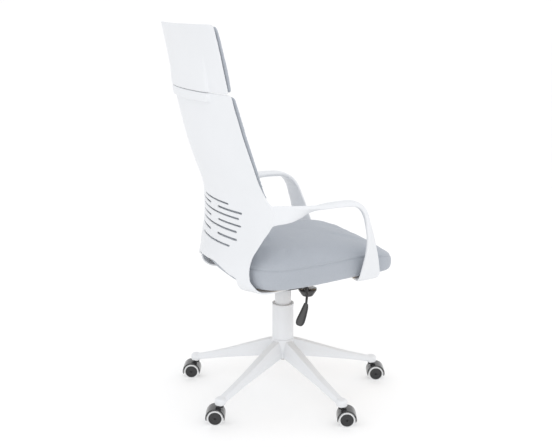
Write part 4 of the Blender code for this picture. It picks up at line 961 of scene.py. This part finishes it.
BACK_SIDE = (
    # height, half width of the back without its corners
    (0.989, 0.2400), (0.960, 0.2412), (0.920, 0.2425), (0.800, 0.2428), (0.730, 0.2445), (0.690, 0.2475),
    (0.660, 0.2490), (0.620, 0.2475),
    (0.600, 0.2440), (0.570, 0.2270), (0.540, 0.2110), (0.515, 0.1980), (0.495, 0.1900), (0.478, 0.1880))
HEAD_SIDE = (
    (1.174, 0.2225), (1.120, 0.2260), (1.080, 0.2280), (1.040, 0.2292), (1.012, 0.2298), (0.9905, 0.2300))
HEAD_FOOT, HEAD_TOP = 0.9905, 1.174
BACK_TOP = 0.9893
THIN_BY = 0.0028
ARCH_DROP, ARCH_FROM_X, ARCH_TO_X, ARCH_FROM_Z = 0.034, 0.050, 0.150, 0.530
ARCH_LIFT = 0.007
SHELL_FOOT = 0.478
SLOT_HIGH = 0.0052
SLOTS = (
    (0.660, 0.000, 0.095), (0.642, 0.026, 0.156), (0.624, 0.000, 0.142), (0.603, 0.026, 0.151),
    (0.583, 0.000, 0.133), (0.560, 0.026, 0.136), (0.537, 0.000, 0.108))
HOOK_ROWS = (
    ((0.151, 0.218, 0.4320), (0.196, 0.188, 0.4330)), ((0.147, 0.206, 0.4150), (0.203, 0.177, 0.4180)),
    ((0.137, 0.187, 0.4050), (0.206, 0.163, 0.4090)), ((0.122, 0.157, 0.4040), (0.207, 0.140, 0.4072)),
    ((0.112, 0.110, 0.4072), (0.203, 0.105, 0.4072)), ((0.108, 0.070, 0.4072), (0.194, 0.066, 0.4072)))
ROOT_Z, ROOT_HALF, ROOT_TAB = 0.652, 0.031, 0.014
ROOT_ABOVE, ROOT_BELOW = 0.034, 0.046
ARM_TOP = (
    # centre with x from the shell's side, the direction of the width, half width, half thickness
    ((0.0060, 0.1350, 0.6520), (0.08, 0.02, 1.0), 0.0285, 0.0046),
    ((0.0080, 0.0980, 0.6522), (0.24, 0.00, 0.97), 0.0265, 0.0060),
    ((0.0080, 0.0660, 0.6555), (0.55, 0.00, 0.83), 0.0248, 0.0068),
    ((0.0075, 0.0340, 0.6612), (0.88, 0.00, 0.47), 0.0238, 0.0074),
    ((0.0060, -0.0050, 0.6645), (0.99, 0.00, 0.14), 0.0235, 0.0075),
    ((0.0060, -0.0500, 0.6670), (1.0, 0.00, 0.05), 0.0235, 0.0075),
    ((0.0056, -0.0900, 0.6662), (0.995, 0.05, 0.02), 0.0240, 0.0078),
    ((0.0050, -0.1120, 0.6625), (0.985, 0.12, 0.01), 0.0242, 0.0080),
    ((0.0040, -0.1300, 0.6520), (0.965, 0.22, 0.00), 0.0245, 0.0082),
    ((0.0022, -0.1435, 0.6365), (0.930, 0.34, 0.00), 0.0250, 0.0083))
ARM_POST = (
    # the same, with x from the seat's side
    ((0.0500, -0.1530, 0.6180), (0.90, 0.43, 0.00), 0.0253, 0.0083),
    ((0.0480, -0.1600, 0.5960), (0.84, 0.54, 0.00), 0.0256, 0.0080),
    ((0.0445, -0.1700, 0.5620), (0.75, 0.66, 0.00), 0.0262, 0.0075),
    ((0.0370, -0.1790, 0.5150), (0.55, 0.83, 0.00), 0.0290, 0.0070),
    ((0.0260, -0.1855, 0.4650), (0.30, 0.95, 0.00), 0.0345, 0.0062),
    ((0.0180, -0.1880, 0.4300), (0.16, 0.985, 0.00), 0.0385, 0.0055),
    ((0.0110, -0.1885, 0.4170), (0.15, 0.985, 0.00), 0.0390, 0.0052),
    ((-0.0040, -0.1885, 0.4105), (0.12, 0.990, 0.00), 0.0380, 0.0048),
    ((-0.0450, -0.1885, 0.4115), (0.10, 0.995, 0.00), 0.0350, 0.0048))
SEAT_SIDE = SEAT_HALF * 0.847
SHELL_VOXEL = 0.0019


def read_table(table, height):
    """The table's row at this height, with the heights between its rows filled in smoothly."""
    rising = table[::-1] if table[0][0] > table[-1][0] else table
    keys = [row[0] for row in rising]
    n = min(max(int(np.searchsorted(keys, height)) - 1, 0), len(keys) - 2)
    t = min(1.0, max(0.0, (height - keys[n]) / (keys[n + 1] - keys[n])))
    row = []
    for k in range(1, len(rising[0])):
        values = [r[k] for r in rising]
        step = keys[n + 1] - keys[n]
        before, after = max(n - 1, 0), min(n + 2, len(keys) - 1)
        slope_a = (values[n + 1] - values[before]) / (keys[n + 1] - keys[before]) * step
        slope_b = (values[after] - values[n]) / (keys[after] - keys[n]) * step
        row.append((2 * t**3 - 3 * t**2 + 1) * values[n] + (t**3 - 2 * t**2 + t) * slope_a
                   + (-2 * t**3 + 3 * t**2) * values[n + 1] + (t**3 - t**2) * slope_b)
    return row


def ease(t):
    t = min(1.0, max(0.0, t))
    return t * t * (3.0 - 2.0 * t)


def shell_face(x, z):
    """The shell's rear face and its outward direction, at this width and height."""
    middle, curve = read_table(SHELL_BEND, z)
    out = Vector((2 * curve * x, 1.0, 0.0)).normalized()
    sag = (ARCH_DROP * ease((abs(x) - ARCH_FROM_X) / (ARCH_TO_X - ARCH_FROM_X)) - ARCH_LIFT) * min(
        1.0, max(0.0, (ARCH_FROM_Z - z) / (ARCH_FROM_Z - SHELL_FOOT)))
    return Vector((x, middle - curve * x * x, z - sag)), out


def tongue_proud(x, z):
    """How far the raised middle panel stands off the shell here."""
    across, down = abs(x) - (TONGUE_HALF - TONGUE_CORNER), (TONGUE_FOOT + TONGUE_CORNER) - z
    inside = TONGUE_CORNER - math.hypot(max(across, 0.0), max(down, 0.0)) - min(max(across, down), 0.0)
    fade = ease((TONGUE_FADE - z) / (TONGUE_FADE - SPLIT_Z))
    return TONGUE_PROUD * fade * ease(inside / 0.0034)


def inside_loop(points, loop):
    """Which of the points lie inside the closed loop."""
    x, y = points[:, 0], points[:, 1]
    found = np.zeros(len(points), bool)
    for (ax, ay), (bx, by) in zip(loop, np.roll(loop, -1, axis=0)):
        crosses = (ay > y) != (by > y)
        found ^= crosses & (x < (bx - ax) * (y - ay) / ((by - ay) if by != ay else 1e-12) + ax)
    return found


def loop_distance(points, loop):
    """How far each point is from the loop."""
    far = np.full(len(points), 1e9)
    for a, b in zip(loop, np.roll(loop, -1, axis=0)):
        run = b - a
        share = np.clip(((points - a) @ run) / max(run @ run, 1e-14), 0.0, 1.0)
        far = np.minimum(far, np.linalg.norm(points - a - share[:, None] * run, axis=1))
    return far


def tiled(outline, holes=(), spacing=0.008, details=()):
    """(points, triangles) of a flat panel with holes, on an even grid with extra detail points."""
    loops = [np.array([tuple(p)[:2] for p in outline])] + [np.array([tuple(p)[:2] for p in h]) for h in holes]
    low, high = loops[0].min(axis=0), loops[0].max(axis=0)
    across, up = np.meshgrid(np.arange(low[0], high[0], spacing), np.arange(low[1], high[1], spacing))
    across[1::2] += spacing / 2
    field = np.column_stack([across.ravel(), up.ravel()])
    if len(details):
        details = np.array(details)
        near = np.array([np.min(np.linalg.norm(details - p, axis=1)) for p in field])
        field = np.vstack([field[near > 0.45 * spacing], details])
    keep = inside_loop(field, loops[0])
    for loop in loops[1:]:
        keep &= ~inside_loop(field, loop)
    for loop in loops:
        keep &= loop_distance(field, loop) > 0.0012
    field = field[keep]
    flat, edges = [], []
    for loop in loops:
        start = len(flat)
        flat += [Vector(p) for p in loop]
        edges += [(start + n, start + (n + 1) % len(loop)) for n in range(len(loop))]
    flat += [Vector(p) for p in field]
    points, _, faces, *_ = delaunay_2d_cdt(flat, edges, [], 0, 1e-7, False)
    spots = np.array([tuple(p) for p in points])
    middles = np.array([spots[list(face)].mean(axis=0) for face in faces])
    keep = inside_loop(middles, loops[0])
    for loop in loops[1:]:
        keep &= ~inside_loop(middles, loop)
    return spots, [tuple(face) for face, kept in zip(faces, keep) if kept]


def two_sided(points, faces, rear_at, front_at):
    """A closed solid between two faces of the same flat panel."""
    rear = [rear_at(float(a), float(b)) for a, b in points]
    front = [front_at(float(a), float(b)) for a, b in points]
    count = len(points)
    solid = [tuple(face) for face in faces] + [tuple(count + v for v in reversed(face)) for face in faces]
    once = {}
    for face in faces:
        for a, b in zip(face, face[1:] + face[:1]):
            if (b, a) in once:
                del once[(b, a)]
            else:
                once[(a, b)] = True
    solid += [(b, a, count + a, count + b) for a, b in once]
    return rear + front, solid


hook_paths = []
for edge in (0, 1):
    path = []
    for z in (0.505, SHELL_FOOT):
        side = ARCH_TO_X if edge == 0 else read_table(BACK_SIDE, z)[0]
        path.append(shell_face(side, z)[0])
    path += [Vector(row[edge]) for row in HOOK_ROWS]
    hook_paths.append(smooth_rows([tuple(p) for p in path], 8)[8:])
hook_runs = [0.0]
for before, after in zip(hook_paths[0], hook_paths[0][1:]):
    hook_runs.append(hook_runs[-1] + float(np.linalg.norm(np.array(after) - before)))


def hook_row(v):
    """Inner and outer edge of the hook at a height that goes on counting round its bend."""
    run = SHELL_FOOT - v
    return [Vector([float(np.interp(run, hook_runs, [p[k] for p in path])) for k in range(3)])
            for path in hook_paths]


def hook_face(x, v):
    inner, outer = hook_row(v)
    share = (abs(x) - inner.x) / (outer.x - inner.x)
    here = inner.lerp(outer, share)
    above = hook_row(min(v + 0.002, SHELL_FOOT))
    below = hook_row(v - 0.002)
    down = below[0].lerp(below[1], share) - above[0].lerp(above[1], share)
    out = (outer - inner).cross(down).normalized()
    if out.y < -0.1 or out.z > 0.5:
        out = -out
    side = 1.0 if x > 0 else -1.0
    return Vector((side * here.x, here.y, here.z)), Vector((side * out.x, out.y, out.z))


def on_panel(x, v):
    return shell_face(x, v) if v > SHELL_FOOT - 1e-5 else hook_face(x, v)


def panel_rear(x, v):
    return COLUMN + on_panel(x, v)[0] + Vector((0.0, tongue_proud(x, v), 0.0))


def panel_front(x, v):
    """The sheet is thinned along its upper sides, so that the cushion shows right up to its edge."""
    face, out = on_panel(x, v)
    side = read_table(BACK_SIDE if v < SPLIT_Z else HEAD_SIDE, max(v, SHELL_FOOT))[0]
    thinned = THIN_BY * ease((abs(x) - side + 0.012) / 0.012) * ease((v - 0.700) / 0.040)
    return COLUMN + face - out * (SHELL_THICK - thinned)


def root_tab(z):
    """The shell's side swells out into the arm's root, with a fillet above and a longer one below."""
    past = abs(z - ROOT_Z) - ROOT_HALF + 0.004
    beyond = past / (ROOT_ABOVE if z > ROOT_Z else ROOT_BELOW)
    return ROOT_TAB * (1.0 - min(1.0, max(0.0, beyond))) ** 2.2


def both_sides(right):
    return [Vector((x, z)) for x, z in right] + [Vector((-x, z)) for x, z in reversed(right) if x > 1e-6]


def slot_loops():
    loops, radius = [], SLOT_HIGH / 2
    for height, inner, outer in SLOTS:
        for left, right in ([(-outer, outer)] if inner == 0.0 else [(-outer, -inner), (inner, outer)]):
            steps = max(2, int((right - left) / 0.008))
            loop = []
            for start, end, way in ((right - radius, left + radius, 1), (left + radius, right - radius, -1)):
                loop += [(start + way * radius * math.cos(math.radians(a)),
                          height + way * radius * math.sin(math.radians(a))) for a in range(-90, 91, 30)]
                loop += [(start + (end - start) * k / steps, height + way * radius) for k in range(1, steps)]
            loops.append(loop)
    return loops


def tongue_details():
    """Points on and beside the edge of the raised panel, so that its step stays crisp."""
    spots = []
    for off in (-0.0048, -0.0030, -0.0014, 0.0003, 0.0020):
        for k in range(34):
            for side in (1, -1):
                spots.append((side * (TONGUE_HALF + off), TONGUE_FOOT + TONGUE_CORNER + k * 0.006))
        for k in range(-44, 45):
            spots.append((k * 0.003 * (TONGUE_HALF - TONGUE_CORNER) / 0.132, TONGUE_FOOT - off))
        for k in range(1, 7):
            for side in (1, -1):
                a = math.radians(90 * k / 7)
                spots.append((side * (TONGUE_HALF - TONGUE_CORNER + (TONGUE_CORNER + off) * math.cos(a)),
                              TONGUE_FOOT + TONGUE_CORNER - (TONGUE_CORNER + off) * math.sin(a)))
    return spots


def arc(radius, steps, *corners):
    """A flat line through these corners, each inner one rounded off."""
    return [tuple(p) for p in rounded([Vector(c) for c in corners], radius, steps, closed=False)]


side_line = []
for k in range(101):
    z = BACK_TOP - (BACK_TOP - SHELL_FOOT) * k / 100
    side_line.append((read_table(BACK_SIDE, z)[0] + root_tab(z), z))
hook_steps = [SHELL_FOOT - hook_runs[-1] * k / 24 for k in range(1, 25)]
hook_outer = [(hook_row(v)[1].x, v) for v in hook_steps]
hook_inner = [(hook_row(v)[0].x, v) for v in reversed(hook_steps)]
top_line = [(0.02 * k, BACK_TOP) for k in range(10)]
corner = arc(0.013, 6, (0.2, BACK_TOP), side_line[0], side_line[6])
arch_line = [(0.140 - 0.014 * k, SHELL_FOOT) for k in range(10)] + [(0.0, SHELL_FOOT)]
notch = arc(0.010, 5, hook_inner[-3], (ARCH_TO_X, SHELL_FOOT), arch_line[1])
tip = arc(0.012, 6, hook_outer[-3], hook_outer[-1], hook_inner[0], hook_inner[2])
right_side = (top_line + corner[:-1] + side_line[6:] + hook_outer[:-3] + tip + hook_inner[3:-3] + notch
              + arch_line[2:])
back_points, back_faces = tiled(both_sides(right_side), slot_loops(), 0.0085, tongue_details())
back_solid = two_sided(back_points, back_faces, panel_rear, panel_front)


def arm_solid(side):
    """(points, faces) of one arm, from inside the shell's edge to the foot under the seat."""
    half = read_table(BACK_SIDE, ROOT_Z)[0]
    face, out = shell_face(half, ROOT_Z)
    root = face - out * (SHELL_THICK / 2)
    outward = Vector((1.0, -out.x / out.y, 0.0)).normalized()
    rows = [(root - outward * 0.004, (0, 0, 1), ROOT_HALF - 0.004, SHELL_THICK / 2 - 0.0003),
            (root + outward * 0.010, (0, 0, 1), ROOT_HALF - 0.0015, SHELL_THICK / 2)]
    for side_x, table in ((SHELL_HALF, ARM_TOP), (SEAT_SIDE, ARM_POST)):
        rows += [(Vector(c) + Vector((side_x, 0.0, 0.0)), broad, wide, thick)
                 for c, broad, wide, thick in table]
    runs = [0.0]
    for before, after in zip(rows, rows[1:]):
        runs.append(runs[-1] + (after[0] - before[0]).length)
    keyed = [(run, *c, *Vector(broad).normalized(), wide, thick)
             for run, (c, broad, wide, thick) in zip(runs, rows)]
    table = [read_table(keyed, run) for run in np.linspace(0.0, runs[-1], int(runs[-1] / 0.005))]
    points, count, before = [], 36, None
    for n, row in enumerate(table):
        centre = Vector(row[:3])
        after, behind = table[min(n + 1, len(table) - 1)], table[max(n - 1, 0)]
        way = (Vector(after[:3]) - Vector(behind[:3])).normalized()
        broad = Vector(row[3:6])
        broad = (broad - way * broad.dot(way)).normalized()
        if before is not None and broad.dot(before) < 0:
            broad = -broad
        before = broad
        normal = way.cross(broad)
        for k in range(count):
            c, s = math.cos(2 * math.pi * k / count), math.sin(2 * math.pi * k / count)
            reach = (abs(c) ** 4.0 + abs(s) ** 4.0) ** -0.25
            crown = 1.0 - 0.12 * (c * reach) ** 2
            spot = centre + broad * (row[6] * c * reach) + normal * (row[7] * s * reach * crown)
            points.append(COLUMN + Vector((side * spot.x, spot.y, spot.z)))
    return points, rows_to_faces(len(table), count)


shell_mesh = melted("shell_moulding", join_shapes(back_solid, arm_solid(1), arm_solid(-1)), SHELL_VOXEL, 4)
shell_mesh.shade_smooth()
show("shell_with_arms", shell_mesh, white_nylon, "tilt", "white_nylon", "back_shell", "arm_left", "arm_right")


# ---------------------------------------------------------------- headrest shell
# The same curved nylon sheet above a thin split, with a raised middle panel that grows out of it
# and laps down over the top of the back.
head_steps = [HEAD_TOP - (HEAD_TOP - HEAD_FOOT) * k / 30 for k in range(31)]
head_side = [(read_table(HEAD_SIDE, z)[0], z) for z in head_steps]
top_corner = arc(0.020, 8, (0.19, HEAD_TOP), head_side[0], head_side[5])
foot_corner = arc(0.016, 8, head_side[-5], head_side[-1], (0.20, HEAD_FOOT))
head_right = ([(0.02 * k, HEAD_TOP) for k in range(9)] + top_corner + head_side[6:-5] + foot_corner
              + [(0.02 * k, HEAD_FOOT) for k in range(9, -1, -1)])
head_points, head_faces = tiled(both_sides(head_right), (), 0.0085, tongue_details())
head_solid = two_sided(head_points, head_faces, panel_rear, panel_front)
head_mesh = melted("headrest_moulding", head_solid, SHELL_VOXEL, 5)
show("headrest_moulding", head_mesh, white_nylon, "tilt", "white_nylon", "headrest_shell")


# ---------------------------------------------------------------- back cushions
# Foam pads in the same light cloth, stuck to the front of the shells: a long one that swells at
# the small of the back and a short one on the headrest. Each has a narrow band sewn round its edge.
PAD_GAP = 0.0018
BACK_PAD = (
    # height, thickness at the middle, thickness at the edge
    (0.985, 0.026, 0.011), (0.960, 0.032, 0.012), (0.930, 0.036, 0.013), (0.860, 0.040, 0.013),
    (0.780, 0.050, 0.011), (0.720, 0.056, 0.008), (0.670, 0.058, 0.009), (0.620, 0.058, 0.010),
    (0.570, 0.054, 0.012), (0.548, 0.050, 0.012), (0.527, 0.036, 0.010))
BACK_PAD_SIDE = (
    # height, how far the cushion's side is inside the shell's
    (0.985, 0.0020), (0.930, 0.0012), (0.780, 0.0012), (0.720, 0.0035), (0.670, 0.0070), (0.620, 0.0140),
    (0.570, 0.0130), (0.527, 0.0135))
HEAD_PAD = (
    (1.170, 0.028, 0.010), (1.150, 0.034, 0.0105), (1.110, 0.038, 0.011), (1.050, 0.038, 0.012),
    (0.994, 0.030, 0.012))
HEAD_PAD_SIDE = ((1.170, 0.0020), (1.050, 0.0012), (0.994, 0.0020))
PAD_ROLL = 0.008


def pad_outline(shell_side, side_table, top, foot, top_radius, foot_radius):
    right = [(read_table(shell_side, z)[0] - read_table(side_table, z)[0], z)
             for z in np.linspace(top, foot, 40)]
    upper = arc(top_radius, 8, (0.15, top), right[0], right[6])
    lower = arc(foot_radius, 8, right[-7], right[-1], (0.12, foot))
    return both_sides([(0.0, top), (0.05, top), (0.10, top)] + upper + right[7:-7] + lower
                      + [(0.08, foot), (0.04, foot), (0.0, foot)])


def build_pad(name, outline, table, shell_side, side_table, cad_node, most):
    """A sewn pad against the shell: its form, its swell, its seam, and its place in the chair."""
    loop = np.array([tuple(p) for p in outline])
    details = []
    for inset in (0.0025, 0.006, 0.010):
        for before, here, after in zip(np.roll(loop, 1, axis=0), loop, np.roll(loop, -1, axis=0)):
            run = (after - before) / max(np.linalg.norm(after - before), 1e-9)
            details += [here + np.array((run[1], -run[0])) * way for way in (-inset, inset)]
    points, faces = tiled(outline, (), 0.008, details)
    keys = [(round(float(a), 7), round(float(b), 7)) for a, b in points]
    inside = dict(zip(keys, loop_distance(points, loop)))

    def rear_at(x, z):
        face, out = shell_face(x, z)
        return COLUMN + face - out * (SHELL_THICK + PAD_GAP)

    def front_at(x, z):
        thick, edge_thick = read_table(table, z)
        half = read_table(shell_side, z)[0] - read_table(side_table, z)[0]
        middle_y = shell_face(0.0, z)[0].y - SHELL_THICK - thick
        rim_y = shell_face(half, z)[0].y - SHELL_THICK - edge_thick
        share = min(1.0, abs(x) / half)
        rear = rear_at(x, z)
        wanted = COLUMN.y + middle_y + (rim_y - middle_y) * share * share
        far = min(1.0, inside[(round(x, 7), round(z, 7))] / PAD_ROLL)
        roll = 0.62 + 0.38 * math.sqrt(1.0 - (1.0 - far) ** 2)
        return Vector((x + COLUMN.x, rear.y + min(wanted - rear.y, -0.004) * roll, z))

    form = mesh_of(name, *two_sided(points, faces, rear_at, front_at))

    def from_edge(places):
        return loop_distance(np.column_stack([places[:, 0] - COLUMN.x, places[:, 2]]), loop)

    def off_shell(places):
        across = places[:, 0] - COLUMN.x
        heights, bends = zip(*[(z, read_table(SHELL_BEND, z)) for z in np.linspace(SHELL_FOOT, HEAD_TOP, 90)])
        middle, curve = (np.interp(places[:, 2], heights, [bend[k] for bend in bends]) for k in (0, 1))
        return (middle - curve * across**2 - SHELL_THICK - PAD_GAP + COLUMN.y - places[:, 1]) / np.sqrt(
            1.0 + (2 * curve * across) ** 2)

    def seam_depths(places):
        valley = 0.0020 * np.exp(-((from_edge(places) - 0.0065) / 0.0018) ** 2)
        return np.where(off_shell(places) > 0.004, valley, 0.0)

    def held(places):
        return (off_shell(places) < 0.006) | (from_edge(places) < 0.006)

    pad = finer(swelled(form, 0.004, held, most, 3.0))
    sewn_in(pad, seam_depths)
    pad.shade_smooth()
    piece = show(name, pad, grey_cloth, "tilt", "grey_fabric", cad_node)


build_pad("back_pad", pad_outline(BACK_SIDE, BACK_PAD_SIDE, 0.985, 0.527, 0.012, 0.018), BACK_PAD, BACK_SIDE,
          BACK_PAD_SIDE, "back_cushion", 0.003)
build_pad("head_pad", pad_outline(HEAD_SIDE, HEAD_PAD_SIDE, 1.170, 0.994, 0.014, 0.012), HEAD_PAD, HEAD_SIDE,
          HEAD_PAD_SIDE, "headrest_cushion", 0.003)


# ---------------------------------------------------------------- fixings
# Zinc pan-head screws hold the arms' feet, the shell's hooks and the seat plate to the board.
SCREW_HEAD_R, SCREW_HEAD_HIGH = 0.0052, 0.0026
SCREWS = (
    # x and y from the gas lift, height of the face under the head
    (0.172, -0.203, 0.4068), (0.172, -0.172, 0.4068), (0.150, 0.082, 0.4072), (0.178, 0.080, 0.4072),
    (0.084, -0.100, 0.4145), (0.084, 0.108, 0.4145))
screw_shapes = []
for x, y, z in SCREWS:
    for side in (1, -1):
        screw_shapes.append(lathe(
            ((0.0, z + 0.0004), (SCREW_HEAD_R, z + 0.0004), (SCREW_HEAD_R, z - 0.0008),
             (SCREW_HEAD_R * 0.72, z - SCREW_HEAD_HIGH * 0.88), (0.0019, z - SCREW_HEAD_HIGH),
             (0.0014, z - SCREW_HEAD_HIGH + 0.0016), (0.0, z - SCREW_HEAD_HIGH + 0.0018)),
            24, 0.0003, COLUMN + Vector((side * x, y, 0.0))))
show("screw_heads", mesh_of("screw_heads", *join_shapes(*screw_shapes), 35), bright_steel, "tilt",
     "bright_steel")
